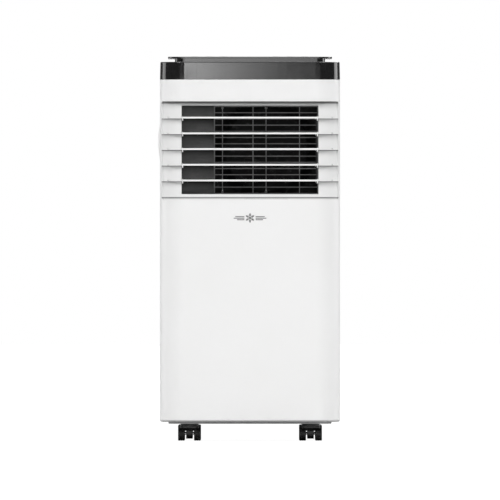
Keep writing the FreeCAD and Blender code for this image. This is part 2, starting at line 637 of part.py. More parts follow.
def lower_scroll():
    """The hot-side blower housing: a drum that opens up into a duct, which turns back to the collar."""
    y = (LOWER_Y, LOWER_Y + LOWER_SCROLL_D)
    x = EXHAUST_X
    top = EXHAUST_Z + EXHAUST_R
    outer_r = LOWER_DRUM_R + PANEL
    duct_half = COLLAR_BORE_R - DUCT_IN_BORE
    outer = rod(outer_r, (x, y[0], LOWER_Z), (x, y[1], LOWER_Z))
    outer = outer.fuse(box((x - duct_half - PANEL, x + duct_half + PANEL), y, (LOWER_Z, top)))
    inner = rod(LOWER_DRUM_R, (x, y[0] + PANEL, LOWER_Z), (x, y[1] - PANEL, LOWER_Z))
    inner = inner.fuse(box((x - duct_half, x + duct_half), (y[0] + PANEL, y[1] - PANEL),
                           (LOWER_Z, top - PANEL)))
    spout_end = REAR - COLLAR_DEPTH - 1.0
    spout_r = COLLAR_BORE_R - SPOUT_IN_BORE
    spout = rod(spout_r, (x, y[1] - PANEL, EXHAUST_Z), (x, spout_end, EXHAUST_Z))
    spout_hole = rod(spout_r - SPOUT_T, (x, y[1] - PAST, EXHAUST_Z), (x, spout_end + PAST, EXHAUST_Z))
    inlet_r = LOWER_DRUM_R - BLOWER_GAP - INLET_LIP
    inlet = rod(inlet_r, (x, y[1] - PAST, LOWER_Z), (x, y[1] + PAST, LOWER_Z))
    motor_hole = rod(SHAFT_HOLE_R, (x, y[0] - PAST, LOWER_Z), (x, y[0] + PAST, LOWER_Z))
    return fuse([outer.cut(inner), spout]).cut(spout_hole).cut(inlet).cut(motor_hole)


def impeller(x, z, y, radius, shaft_end):
    """A drum-shaped blower wheel on its shaft: disc, hub, a ring of blades and a rim."""
    rim = rod(radius, (x, y[1] - WHEEL_RIM_T, z), (x, y[1], z))
    rim = rim.cut(rod(radius - WHEEL_RIM_W, (x, y[1] - PAST, z), (x, y[1] + PAST, z)))
    pieces = [rod(radius, (x, y[0], z), (x, y[0] + WHEEL_DISC_T, z)),
              rod(WHEEL_HUB_R, (x, y[0], z), (x, y[0] + WHEEL_HUB_L, z)),
              rim, rod(SHAFT_R, (x, y[0] + ROOT, z), (x, shaft_end, z))]
    for turn in range(WHEEL_BLADES):
        fin = box((-WHEEL_FIN_T / 2, WHEEL_FIN_T / 2), y, (-WHEEL_FIN_W / 2, WHEEL_FIN_W / 2))
        fin.rotate(Vector(0, 0, 0), Vector(0, 1, 0), WHEEL_FIN_TURN)
        fin.translate(Vector(0, 0, radius - WHEEL_FIN_SET))
        fin.rotate(Vector(0, 0, 0), Vector(0, 1, 0), 360 * turn / WHEEL_BLADES)
        fin.translate(Vector(x, 0, z))
        pieces.append(fin)
    return fuse(pieces)


def motor(x, z, face_y, towards):
    """A round motor on a mounting face, bored for the shaft that carries the wheel."""
    back = face_y + towards * MOTOR_L
    can = rod(MOTOR_R, (x, face_y, z), (x, back, z))
    rims = [e for e in can.Edges if abs(e.Length - 2 * math.pi * MOTOR_R) < 0.01]
    can = can.makeFillet(3.0, rims)
    return can.cut(rod(SHAFT_R + RUNNING, (x, face_y - towards, z), (x, face_y + towards * SHAFT_IN, z)))


# ---------------------------------------------------------------- coils and the cold circuit
def coil(x, z):
    """A finned coil between two end plates."""
    y = (COIL_Y, COIL_Y + COIL_D)
    plates = [box((x[0], x[0] + END_PLATE_T), y, z), box((x[1] - END_PLATE_T, x[1]), y, z)]
    count = int((x[1] - x[0]) / FIN_PITCH)
    for i in range(1, count):
        at = x[0] + i * (x[1] - x[0]) / count
        plates.append(box((at - FIN_T / 2, at + FIN_T / 2), (y[0] + 1, y[1] - 1), (z[0] + 1, z[1] - 1)))
    rows = int((z[1] - z[0]) / TUBE_PITCH)
    middle = (y[0] + y[1]) / 2
    for row in range(rows):
        level = z[0] + (row + 0.5) * (z[1] - z[0]) / rows
        plates.append(rod(COIL_TUBE_R, (x[0] - TUBE_PROUD, middle, level), (x[1] + TUBE_PROUD, middle, level)))
    return fuse(plates)


def drip_tray():
    """A shallow tray that floors the cold side and catches the evaporator's water."""
    y = (SCROLL_Y + UPPER_SCROLL_D + 4.0, REAR - WALL - FIT)
    half = HALF - WALL - FIT
    whole = plan_prism(WALL + FIT, MID_DECK, MID_DECK + TRAY_H).common(box((-half, half), y, (0, HEIGHT)))
    hollow = plan_prism(WALL + FIT + PANEL, MID_DECK + PANEL, MID_DECK + TRAY_H + PAST)
    return whole.cut(hollow.common(box((-half, half), (y[0] + PANEL, y[1] - PANEL), (0, HEIGHT))))


def foot_places():
    """The three places round the compressor where it stands on rubber."""
    reach = FOOT_REACH * RUBBER_REACH
    for turn in (30, 150, 270):
        angle = math.radians(turn)
        yield COMPRESSOR_X + reach * math.cos(angle), COMPRESSOR_Y + reach * math.sin(angle)


def compressor():
    """A sealed steel shell with domed ends on a base plate, delivered as one unit."""
    z = (COMPRESSOR_Z + COMPRESSOR_PLATE_T, COMPRESSOR_TOP)
    place = (COMPRESSOR_X, COMPRESSOR_Y)

    def capsule(shrink):
        radius = COMPRESSOR_R - shrink
        body = rod(radius, (*place, z[0] + shrink), (*place, z[1] - shrink))
        rims = [e for e in body.Edges if abs(e.Length - 2 * math.pi * radius) < 0.01]
        return body.makeFillet(COMPRESSOR_DOME_R - shrink, rims)

    shell = capsule(0).cut(capsule(COMPRESSOR_WALL))
    windings = rod(WINDINGS_R, (*place, z[0] + ROOT), (*place, z[0] + WINDINGS_H))
    plate = rod(FOOT_REACH, (*place, COMPRESSOR_Z), (*place, z[0] + 2 * ROOT))
    return fuse([shell, windings, plate])


def compressor_mounts():
    rubbers = [rod(RUBBER_R, (x, y, PAN_BOTTOM + PAN_FLOOR), (x, y, COMPRESSOR_Z)) for x, y in foot_places()]
    return Part.makeCompound(rubbers)


def refrigerant_pipes():
    """Two pipes on the compressor: one to the condenser, one up to the evaporator."""
    top = COMPRESSOR_TOP
    coil_y = COIL_Y + COIL_D / 2
    side = -COIL_HALF - TUBE_PROUD - PIPE_R - 1.0
    x = COMPRESSOR_X + PIPE_APART
    level = top + HOT_PIPE_RISE
    hot = pipe([(x, COMPRESSOR_Y, top), (x, COMPRESSOR_Y, level), (side, COMPRESSOR_Y + HOT_PIPE_STEP, level),
                (side, coil_y, level), (side, coil_y, CONDENSER_LOW + 40)], PIPE_R, PIPE_BEND)
    x = COMPRESSOR_X - PIPE_APART
    level = top + COLD_PIPE_RISE
    side += PIPE_APART
    riser_y = SCROLL_Y + UPPER_SCROLL_D - 9.0
    cold = pipe([(x, COMPRESSOR_Y, top), (x, COMPRESSOR_Y, level), (side, COMPRESSOR_Y + COLD_PIPE_STEP, level),
                 (side, riser_y, level), (side, riser_y, MID_DECK + 60)], PIPE_R, PIPE_BEND)
    return Part.makeCompound([hot, cold])


def electric_box():
    """A lidless box on the right wall that holds the control board."""
    x, y, z = EBOX
    hollow = box((x[0] - PAST, x[1] - PANEL), (y[0] + PANEL, y[1] - PANEL), (z[0] + PANEL, z[1] - PANEL))
    return box(x, y, z).cut(hollow)


def control_board():
    """The board inside the electric box, on its back wall, with two blocks for relays."""
    x, y, z = EBOX
    wall_x = x[1] - PANEL
    board_x = (wall_x - BOARD_POST_H - BOARD_T, wall_x - BOARD_POST_H)
    board = box(board_x, (y[0] + 6, y[1] - 6), (z[0] + 6, z[1] - 6))
    posts = [rod(2.5, (board_x[0] + ROOT, post_y, post_z), (wall_x, post_y, post_z))
             for post_y in (y[0] + 12, y[1] - 12) for post_z in (z[0] + 12, z[1] - 12)]
    relays = [box((board_x[0] - 14, board_x[0] + ROOT), (y[0] + at, y[0] + at + 14), (z[0] + 20, z[0] + 46))
              for at in (12, 30)]
    return fuse([board] + posts + relays)


# ---------------------------------------------------------------- rear pieces
def slatted_panel(half_w, low, high, upright_d):
    """A panel of level slats in a flat frame, with three uprights behind them."""
    y = (REAR - FILTER_T, REAR)
    inner_half = half_w - PANEL_BORDER
    inner_low = low + PANEL_BORDER
    inner_high = high - PANEL_BORDER
    rim = box((-half_w, half_w), y, (low, high))
    rim = rim.cut(box((-inner_half, inner_half), (y[0] - PAST, y[1] + PAST), (inner_low, inner_high)))
    count = int((inner_high - inner_low) / SLAT_PITCH)
    spare = (inner_high - inner_low) / count
    pieces = [rim]
    end = -inner_half - ROOT
    for i in range(1, count):
        at = inner_low + i * spare
        slat = [(end, y[1] - 0.2, at - SLAT_LEAN), (end, y[1] - 0.2, at - SLAT_LEAN + SLAT_T),
                (end, y[0], at + SLAT_LEAN), (end, y[0], at + SLAT_LEAN - SLAT_T)]
        pieces.append(prism(slat, (-2 * end, 0, 0)))
    for share in (-0.5, 0.0, 0.5):
        at = share * inner_half
        pieces.append(box((at - UPRIGHT_HALF, at + UPRIGHT_HALF), (y[0] - upright_d, y[0] + 0.8),
                          (inner_low - ROOT, inner_high + ROOT)))
    return fuse(pieces)


def filter_cover():
    return slatted_panel(FILTER_HALF_W - FIT, FILTER_BOTTOM + FIT, FILTER_BOTTOM + FILTER_H - FIT, 1.0)


def filter_mesh():
    """The washable filter: a thin frame with a coarse net, clipped behind its cover."""
    y = (REAR - FILTER_T - 1.0 - MESH_T, REAR - FILTER_T - 1.0)
    half = FILTER_HALF_W - 3.0
    z = (FILTER_BOTTOM + 3.0, FILTER_BOTTOM + FILTER_H - 3.0)
    inner = half - MESH_FRAME
    rim = box((-half, half), y, z)
    rim = rim.cut(box((-inner, inner), (y[0] - PAST, y[1] + PAST), (z[0] + MESH_FRAME, z[1] - MESH_FRAME)))
    sunk = MESH_FRAME - ROOT
    sheet = box((-inner - ROOT, inner + ROOT), (y[0] + 0.7, y[1] - 0.7), (z[0] + sunk, z[1] - sunk))
    return fuse([rim, sheet])


def condenser_grille():
    return slatted_panel(FILTER_HALF_W - FIT / 2, GRILLE_LOW + FIT / 2, GRILLE_HIGH - FIT / 2, 2.0)


def exhaust_collar():
    """The hose port: a tube through the rear wall with a flange outside."""
    x, z = EXHAUST_X, EXHAUST_Z
    y = (REAR - COLLAR_DEPTH, REAR + REAR_PROUD)
    tube = rod(COLLAR_BORE_R + COLLAR_WALL, (x, y[0], z), (x, y[1], z))
    flange = rod(EXHAUST_R, (x, REAR, z), (x, REAR + COLLAR_FLANGE_T, z))
    return fuse([tube, flange]).cut(rod(COLLAR_BORE_R, (x, y[0] - PAST, z), (x, y[1] + PAST, z)))


def cord_gland():
    """A domed rubber gland with a hole for the supply cord."""
    x, z = GLAND_X, GLAND_Z
    collar = rod(GLAND_R, (x, REAR, z), (x, REAR + GLAND_PROUD, z))
    rim = [e for e in collar.Edges
           if e.Vertexes[0].Point.y > REAR + GLAND_PROUD / 2 and abs(e.Length - 2 * math.pi * GLAND_R) < 0.1]
    collar = collar.makeFillet(GLAND_ROUND, rim)
    neck = rod(GLAND_R - NECK_IN - RUNNING, (x, REAR - WALL - 3, z), (x, REAR + ROOT, z))
    return fuse([collar, neck]).cut(rod(CORD_R, (x, REAR - PAST, z), (x, REAR + PAST, z)))


def cord_hooks():
    """Two hooks for winding up the cord, one pointing up and one down."""
    hooks = []
    x = (HOOK_X - HOOK_HALF_W, HOOK_X + HOOK_HALF_W)
    end = REAR + HOOK_REACH
    for way, z in ((1, EXHAUST_Z + UPPER_HOOK), (-1, GLAND_Z - LOWER_HOOK)):
        arm = box(x, (REAR, end), (z - HOOK_HALF_T, z + HOOK_HALF_T))
        tip_z = sorted((z - way * HOOK_HALF_T, z + way * (HOOK_HALF_T + HOOK_TIP_H)))
        tip = box(x, (end - HOOK_TIP_T, end), tip_z)
        foot = box((HOOK_X - HOOK_FOOT_HALF, HOOK_X + HOOK_FOOT_HALF), (REAR, REAR + HOOK_FOOT_T),
                   (z - HOOK_FOOT_HALF, z + HOOK_FOOT_HALF))
        hooks.append(fuse([arm, tip, foot]))
    return Part.makeCompound(hooks)


def drain_cap():
    """A rubber plug with a grip rib, pulled out to empty the base pan."""
    x, z = DRAIN_X, DRAIN_Z
    plug = rod(DRAIN_R - NECK_IN - FIT, (x, REAR - WALL - 6, z), (x, REAR + ROOT, z))
    head = rod(DRAIN_R, (x, REAR + FIT, z), (x, REAR + DRAIN_HEAD_T, z))
    rib = box((x - DRAIN_RIB_HALF, x + DRAIN_RIB_HALF), (REAR + 3, REAR + DRAIN_PROUD),
              (z - DRAIN_R * 0.7, z + DRAIN_R * 0.7))
    return fuse([plug, head, rib])


def case_screws():
    screws = []
    for x, z in SCREWS:
        shank = rod(SCREW_R, (x, REAR - WALL - SCREW_IN, z), (x, REAR + 0.5, z))
        head = rod(SCREW_R * 2, (x, REAR, z), (x, REAR + SCREW_HEAD_H, z))
        slot_y = (REAR + SCREW_SLOT_D, REAR + PAST)
        for half_x, half_z in ((SCREW_SLOT_HALF_L, SCREW_SLOT_HALF_W), (SCREW_SLOT_HALF_W, SCREW_SLOT_HALF_L)):
            head = head.cut(box((x - half_x, x + half_x), slot_y, (z - half_z, z + half_z)))
        screws.append(fuse([shank, head]))
    return Part.makeCompound(screws)


# ---------------------------------------------------------------- top
def top_cover():
    """The gloss cover: a drafted skirt, a flat deck, and a raised neck over a sunken tray."""
    skirt = Part.makeLoft([plan(0.0, CASE_TOP + BAND_GAP), plan(SKIRT_DRAFT, DECK_TOP)], True, True)
    rim = edges_at(skirt, lambda p: abs(p.z - DECK_TOP) < 0.01)
    skirt = skirt.makeFillet(1.6, rim)
    skirt = skirt.cut(plan_prism(PANEL + SKIRT_DRAFT, CASE_TOP - PAST, DECK_TOP - PANEL))
    rebate = plan_prism(WALL + FIT, CASE_TOP - REBATE, CASE_TOP + 8).cut(
        plan_prism(WALL + FIT + LIP_BEHIND, CASE_TOP - REBATE - PAST, CASE_TOP + PAST))
    tray = plan_prism(NECK_INSET, TRAY_Z, PLATE_BOTTOM)
    cover = fuse([skirt, rebate, tray])
    cover = cover.cut(plan_prism(NECK_INSET + PANEL, TRAY_Z + PANEL, HEIGHT))
    posts = [rod(POST_R, (x, BOARD_Y + side * POST_HALF_Y, TRAY_Z + ROOT), (x, BOARD_Y + side * POST_HALF_Y, BOARD_Z))
             for x in (-BOARD_HALF + POST_FROM_END, BOARD_HALF - POST_FROM_END) for side in (-1, 1)]
    return fuse([cover] + posts)


def control_plate():
    """The top plate: it overhangs the neck and is pierced for the window and the buttons."""
    plate = plan_prism(PLATE_INSET, PLATE_BOTTOM, PLATE_TOP)
    plate = plate.makeFillet(0.8, edges_at(plate, lambda p: abs(p.z - PLATE_TOP) < 0.01))
    lip = plan_prism(NECK_INSET + PANEL + FIT, PLATE_BOTTOM - 3, PLATE_BOTTOM + ROOT)
    lip = lip.cut(plan_prism(NECK_INSET + PANEL + FIT + LIP_BEHIND, PLATE_BOTTOM - PAST, PLATE_BOTTOM))
    plate = fuse([plate, lip])
    for x in BUTTON_X:
        plate = plate.cut(rod(BUTTON_R + FIT, (x, BOARD_Y, PLATE_BOTTOM - PAST), (x, BOARD_Y, HEIGHT)))
    pocket = slab(WINDOW_HALF_X, WINDOW_HALF_Y, WINDOW_R, PLATE_TOP - WINDOW_T, HEIGHT, (0, BOARD_Y))
    through = slab(WINDOW_HALF_X - WINDOW_LEDGE, WINDOW_HALF_Y - WINDOW_LEDGE, WINDOW_R - 1.0, PLATE_BOTTOM - PAST,
                   HEIGHT, (0, BOARD_Y))
    return plate.cut(pocket).cut(through)


def display_window():
    return slab(WINDOW_HALF_X - WINDOW_GAP, WINDOW_HALF_Y - WINDOW_GAP, WINDOW_R - WINDOW_GAP, PLATE_TOP - WINDOW_T,
                PLATE_TOP, (0, BOARD_Y))


def display_board():
    """The board under the plate, with the digit block below the window and a switch below each button."""
    board = box((-BOARD_HALF, BOARD_HALF), (BOARD_Y - BOARD_HALF_Y, BOARD_Y + BOARD_HALF_Y),
                (BOARD_Z, BOARD_Z + BOARD_T))
    digits = box((-DIGITS_HALF_X, DIGITS_HALF_X), (BOARD_Y - DIGITS_HALF_Y, BOARD_Y + DIGITS_HALF_Y),
                 (BOARD_Z + ROOT, PLATE_TOP - DIGITS_BELOW))
    switches = [box((x - SWITCH_HALF, x + SWITCH_HALF), (BOARD_Y - SWITCH_HALF, BOARD_Y + SWITCH_HALF),
                    (BOARD_Z + ROOT, BOARD_Z + BOARD_T + SWITCH_H)) for x in BUTTON_X]
    return fuse([board, digits] + switches)


def button(x):
    """A round push button with a retaining flange below the plate and a stem to its switch."""
    cap = rod(BUTTON_R, (x, BOARD_Y, PLATE_BOTTOM - ROOT), (x, BOARD_Y, HEIGHT))
    cap = cap.makeFillet(BUTTON_EDGE_R, edges_at(cap, lambda p: abs(p.z - HEIGHT) < 0.01))
    flange = rod(BUTTON_R + BUTTON_FLANGE, (x, BOARD_Y, PLATE_BOTTOM - 2), (x, BOARD_Y, PLATE_BOTTOM - FIT))
    stem_low = BOARD_Z + BOARD_T + SWITCH_H + BUTTON_TRAVEL + FIT
    stem = rod(STEM_OF_BUTTON_R, (x, BOARD_Y, stem_low), (x, BOARD_Y, PLATE_BOTTOM - ROOT))
    return fuse([cap, flange, stem])


# ---------------------------------------------------------------- base and casters
def caster_places():
    """Name and place of each caster's swivel axis."""
    for row, y in (("front", FRONT + CASTER_FRONT_Y), ("rear", REAR - CASTER_REAR_Y)):
        for side, x in (("left", -CASTER_X), ("right", CASTER_X)):
            yield f"{row}_{side}", x, y


def base_pan():
    """The tray that everything stands on, with a flange on the casing's lip and a socket for each caster."""
    pan = plan_prism(PAN_INSET, PAN_BOTTOM, PAN_BOTTOM + PAN_H)
    pan = pan.makeFillet(PAN_EDGE_R, edges_at(pan, lambda p: abs(p.z - PAN_BOTTOM) < 0.01))
    pan = pan.cut(plan_prism(PAN_INSET + PANEL, PAN_BOTTOM + PAN_FLOOR, HEIGHT))
    level = CASE_BOTTOM + RIM_T
    flange = plan_prism(WALL + FIT, level, level + PAN_FLANGE)
    flange = flange.cut(plan_prism(PAN_INSET + ROOT, level - PAST, level + PAST))
    sockets = [rod(STEM_R + SOCKET_WALL, (x, y, PAN_BOTTOM + ROOT), (x, y, PAN_BOTTOM + STEM_H + SOCKET_WALL))
               for _, x, y in caster_places()]
    pan = fuse([pan, flange] + sockets)
    for _, x, y in caster_places():
        pan = pan.cut(rod(STEM_R + RUNNING, (x, y, 0), (x, y, PAN_BOTTOM + STEM_H + FIT)))
    return pan


def caster_hood(x, y):
    """A twin-wheel caster's swivelling body: cap and stem on top, a hood over the wheels, a web between them."""
    axle_y = y + TRAIL
    half_w = WEB_W / 2 + WHEEL_GAP + WHEEL_W
    space_r = WHEEL_R + HOOD_CLEAR
    top = WHEEL_R + space_r + HOOD_T
    hood = rod(space_r + HOOD_T, (x - half_w, axle_y, WHEEL_R), (x + half_w, axle_y, WHEEL_R))
    rims = [e for e in hood.Edges if abs(e.Length - 2 * math.pi * (space_r + HOOD_T)) < 0.01]
    hood = hood.makeFillet(HOOD_T - 0.4, rims)
    neck = slab(half_w - 3, CAP_R - 3, 8.0, top - 5, top - 0.4, (x, y + 2))
    hood = hood.fuse(neck)
    hood = hood.cut(box((x - half_w - PAST, x + half_w + PAST), (y - 2 * CAP_R, axle_y + 2 * CAP_R),
                        (-PAST, WHEEL_R + HOOD_LOW)))
    wheel_space = rod(space_r, (x - half_w - PAST, axle_y, WHEEL_R), (x + half_w + PAST, axle_y, WHEEL_R))
    hood = hood.cut(wheel_space)
    web = rod(WHEEL_R - 3.6, (x - WEB_W / 2, axle_y, WHEEL_R), (x + WEB_W / 2, axle_y, WHEEL_R))
    riser = box((x - WEB_W / 2, x + WEB_W / 2), (axle_y - 9.2, axle_y + 9.2), (WHEEL_R, WHEEL_R + space_r + 0.6))
    cap = rod(CAP_R, (x, y, top - CAP_T), (x, y, PAN_BOTTOM - FIT))
    cap = cap.cut(wheel_space)
    stem = rod(STEM_R, (x, y, top - ROOT), (x, y, PAN_BOTTOM + STEM_H))
    body = fuse([hood, web, riser, cap, stem])
    return body.cut(rod(AXLE_R + RUNNING, (x - PAST, axle_y, WHEEL_R), (x + PAST, axle_y, WHEEL_R)))


def caster_axle(x, y):
    return rod(AXLE_R, (x - AXLE_REACH, y + TRAIL, WHEEL_R), (x + AXLE_REACH, y + TRAIL, WHEEL_R))


def caster_wheels(x, y):
    """Two wheels pressed on the axle's ends, each with a dished outer face."""
    wheels = []
    for side in (-1, 1):
        inner = x + side * (WEB_W / 2 + WHEEL_GAP)
        outer = inner + side * WHEEL_W
        wheel = rod(WHEEL_R, (inner, y + TRAIL, WHEEL_R), (outer, y + TRAIL, WHEEL_R))
        rims = [e for e in wheel.Edges if abs(e.Length - 2 * math.pi * WHEEL_R) < 0.01]
        wheel = wheel.makeFillet(WHEEL_ROUND, rims)
        dish = rod(WHEEL_R - WHEEL_DISH_IN, (outer - side * WHEEL_DISH_D, y + TRAIL, WHEEL_R),
                   (outer + side * PAST, y + TRAIL, WHEEL_R))
        bore = rod(AXLE_R, (x, y + TRAIL, WHEEL_R), (x + side * AXLE_REACH, y + TRAIL, WHEEL_R))
        wheels.append(wheel.cut(dish).cut(bore))
    return Part.makeCompound(wheels)


def main():
    os.makedirs("parts", exist_ok=True)
    save("base_pan", base_pan())
    save("front_casing", front_casing())
    save("rear_casing", rear_casing())
    save("grip_left", grip(-1))
    save("grip_right", grip(1))
    save("louvre_frame", louvre_frame())
    for number, z in enumerate(BLADE_Z, 1):
        save(f"blade_{number}", blade(z))
    save("blade_link", blade_link())
    save("outlet_duct", outlet_duct())
    for number, x in enumerate(VANE_X, 1):
        save(f"vane_{number}", vane(x))
    save("guard_grille", guard_grille())

    save("upper_scroll", upper_scroll())
    back = SCROLL_Y + UPPER_SCROLL_D
    save("upper_motor", motor(DUCT_X, DUCT_Z, back, 1))
    wheel_y = (back - PANEL - 4.0 - UPPER_WHEEL_W, back - PANEL - 4.0)
    save("upper_impeller", impeller(DUCT_X, DUCT_Z, wheel_y, UPPER_DRUM_R - BLOWER_GAP, back + SHAFT_IN - 1))
    save("lower_scroll", lower_scroll())
    save("lower_motor", motor(EXHAUST_X, LOWER_Z, LOWER_Y, -1))
    wheel_y = (LOWER_Y + PANEL + 8.0, LOWER_Y + LOWER_SCROLL_D - PANEL - 6.0)
    save("lower_impeller", impeller(EXHAUST_X, LOWER_Z, wheel_y, LOWER_DRUM_R - BLOWER_GAP,
                                   LOWER_Y - SHAFT_IN + 1))
    coil_x = (-COIL_HALF, COIL_HALF)
    save("evaporator_coil", coil(coil_x, (EVAPORATOR_LOW, EVAPORATOR_HIGH)))
    save("condenser_coil", coil(coil_x, (CONDENSER_LOW, CONDENSER_HIGH)))
    save("drip_tray", drip_tray())
    save("compressor", compressor())
    save("compressor_mounts", compressor_mounts())
    save("refrigerant_pipes", refrigerant_pipes())
    save("electric_box", electric_box())
    save("control_board", control_board())

    save("filter_cover", filter_cover())
    save("filter_mesh", filter_mesh())
    save("condenser_grille", condenser_grille())
    save("exhaust_collar", exhaust_collar())
    save("cord_gland", cord_gland())
    save("cord_hooks", cord_hooks())
    save("drain_cap", drain_cap())
    save("case_screws", case_screws())

    save("top_cover", top_cover())
    save("control_plate", control_plate())
    save("display_window", display_window())
    save("display_board", display_board())
    for number, x in enumerate(BUTTON_X, 1):
        save(f"button_{number}", button(x))
    for name, x, y in caster_places():
        save(f"caster_hood_{name}", caster_hood(x, y))
        save(f"caster_axle_{name}", caster_axle(x, y))
        save(f"caster_wheels_{name}", caster_wheels(x, y))


main()
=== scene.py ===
"""The looks of a portable air conditioner: white moulded casings, gloss black top, louvres, casters.

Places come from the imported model's own boxes. Lengths are in metres; MM turns millimetres into metres.
"""

import json
import math

import bmesh
import bpy
from mathutils import Matrix, Vector


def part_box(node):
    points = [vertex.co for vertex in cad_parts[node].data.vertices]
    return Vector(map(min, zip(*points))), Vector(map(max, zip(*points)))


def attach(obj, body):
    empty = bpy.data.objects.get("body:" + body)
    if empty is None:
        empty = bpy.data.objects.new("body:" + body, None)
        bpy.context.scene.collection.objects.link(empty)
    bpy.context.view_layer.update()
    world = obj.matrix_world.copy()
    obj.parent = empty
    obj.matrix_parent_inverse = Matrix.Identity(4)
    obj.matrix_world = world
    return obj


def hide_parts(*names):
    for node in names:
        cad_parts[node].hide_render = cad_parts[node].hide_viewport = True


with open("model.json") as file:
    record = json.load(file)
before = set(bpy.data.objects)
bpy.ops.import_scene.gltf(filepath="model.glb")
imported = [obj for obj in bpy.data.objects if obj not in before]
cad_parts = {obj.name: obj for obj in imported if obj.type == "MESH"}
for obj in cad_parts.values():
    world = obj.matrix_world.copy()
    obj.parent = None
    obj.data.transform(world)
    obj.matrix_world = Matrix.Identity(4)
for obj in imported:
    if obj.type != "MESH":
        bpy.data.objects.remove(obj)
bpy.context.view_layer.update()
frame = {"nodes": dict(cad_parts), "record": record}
nodes = frame["nodes"]
MM = 0.001
CASTERS = ("front_left", "front_right", "rear_left", "rear_right")
BLADES = range(1, 6)
BUTTONS = range(1, 7)


# ================================================================ shader helpers
class Value:
    """One output of a shader's nodes. Arithmetic on it adds Math nodes."""

    def __init__(self, shader, socket):
        self.shader = shader
        self.socket = socket

    def __add__(self, other):
        return self.shader.math("ADD", self, other)

    def __rsub__(self, other):
        return self.shader.math("SUBTRACT", other, self)

    def __mul__(self, other):
        return self.shader.math("MULTIPLY", self, other)

    __radd__ = __add__


MIX_FACTOR, MIX_A, MIX_B, MIX_RESULT = 0, 6, 7, 2    # where a Mix node keeps its colour sockets
CREASE_LINE = (0.03, 0.07)   # where the painted shadow line below a crease fades out, as shares of the pitch
CREASE_LIP = 0.3 * MM        # the topmost crease also paints shadow on this much of the edge above it


class Shader:
    """A material under construction, with its pattern space in the object's own metres."""

    def __init__(self, name):
        self.material = bpy.data.materials.new(name)
        self.material.use_nodes = True
        self.tree = self.material.node_tree
        self.surface = self.tree.nodes["Principled BSDF"]
        self.space = self.node("ShaderNodeTexCoord", {}, {}, "Object")

    def node(self, kind, settings, sockets, output=0):
        """Add a node: its settings first, then values or links for its sockets."""
        made = self.tree.nodes.new(kind)
        for name, value in settings.items():
            setattr(made, name, value)
        for name, value in sockets.items():
            self.join(made.inputs[name], value)
        return Value(self, made.outputs[output])

    def join(self, socket, value):
        if isinstance(value, Value):
            self.tree.links.new(value.socket, socket)
        else:
            socket.default_value = value

    def math(self, operation, first, second=0.0):
        return self.node("ShaderNodeMath", {"operation": operation}, {0: first, 1: second})

    def height(self):
        return self.node("ShaderNodeSeparateXYZ", {}, {"Vector": self.space}, "Z")

    def stretched(self, scale):
        """The pattern space scaled on each axis, for brushed and drawn looks."""
        return self.node("ShaderNodeMapping", {}, {"Vector": self.space, "Scale": scale})

    def noise(self, grain, detail=2.0, rough=0.5, space=None):
        """Noise whose features are about the given size in metres, spread over 0 to 1."""
        return self.node("ShaderNodeTexNoise", {"normalize": True}, {
            "Vector": space or self.space, "Scale": 1.0 / grain, "Detail": detail, "Roughness": rough})

    def spread(self, value, low, high, to_low=0.0, to_high=1.0):
        """Map a range of a value on to another range, held at its ends."""
        return self.node("ShaderNodeMapRange", {"clamp": True}, {
            "Value": value, "From Min": low, "From Max": high, "To Min": to_low, "To Max": to_high})

    def mix(self, factor, first, second):
        return self.node("ShaderNodeMix", {"data_type": "RGBA"},
                         {MIX_FACTOR: factor, MIX_A: first, MIX_B: second}, MIX_RESULT)

    def bump(self, height, distance, strength=1.0):
        return self.node("ShaderNodeBump", {}, {"Height": height, "Distance": distance, "Strength": strength})

    def paint_crease_shade(self, shade, level, top, pitch, reach, left, line_left):
        """Paint shade below each of a row of level creases, where the lip or blade above would shadow it,
        darkest in a thin painted shadow line at the crease.

        The painted shade ends at a share of the pitch (reach). What is left of the level is given for the
        shaded part and for the line.
        """
        height = self.height()
        below = self.math("FRACT", (top - height) * (1.0 / pitch))
        depth = self.spread(below, 0.0, reach, 1.0, 0.0)
        line = self.spread(below, *CREASE_LINE, 1.0, 0.0) + self.spread(height, top - CREASE_LIP, top)
        return self.mix(line, self.mix(depth * depth, shade, grey(level * left)), grey(level * line_left))

    def finish(self, **sockets):
        """Set the surface's sockets; underscores stand for spaces."""
        for name, value in sockets.items():
            self.join(self.surface.inputs[name.replace("_", " ")], value)
        return self.material


def grey(level, tint=(1.0, 1.0, 1.0)):
    return (level * tint[0], level * tint[1], level * tint[2], 1.0)


# ================================================================ finishes
# sizes of what shows in the finishes
MOTTLE = 300.0 * MM
DRIFT = 160.0 * MM
RUBBED = 50.0 * MM
WORN = 30.0 * MM
BLOTCH = 20.0 * MM
DUST = 12.0 * MM
FLECK = 4.0 * MM
SPECKLE = 3.0 * MM
PEEL = 2.2 * MM
FINE_PEEL = 0.6 * MM
INK_THIN = 1.2 * MM
DRAWN_LINE = 0.8 * MM
HAIRLINE = (1.0, 1.0, 0.06)  # hairlines run upwards
FIN_WAVES = 220.0            # scales of the wave and brick patterns
NET_WAVES = 130.0
BOARD_BRICKS = 60.0

# colours that are not a plain grey
IVORY = (1.0, 1.0, 0.995)    # tints of a grey
COOL = (1.0, 1.0, 1.02)
INKY = (1.0, 1.0, 1.05)
SMOKE = (0.9, 1.0, 1.2)
COPPER = (0.75, 0.36, 0.22, 1)
COPPER_DULL = (0.35, 0.17, 0.10, 1)
LACQUER = (0.01, 0.10, 0.04, 1)
LACQUER_LIGHT = (0.015, 0.14, 0.06, 1)
LACQUER_ON_COPPER = (0.06, 0.26, 0.10, 1)
LENS = (0.1, 0.2, 0.3, 1)
LENS_LIGHT = (0.15, 0.3, 0.4, 1)
GLOW = (0.35, 0.75, 1.0, 1)
GLOW_BRIGHT = (0.55, 0.9, 1.0, 1)


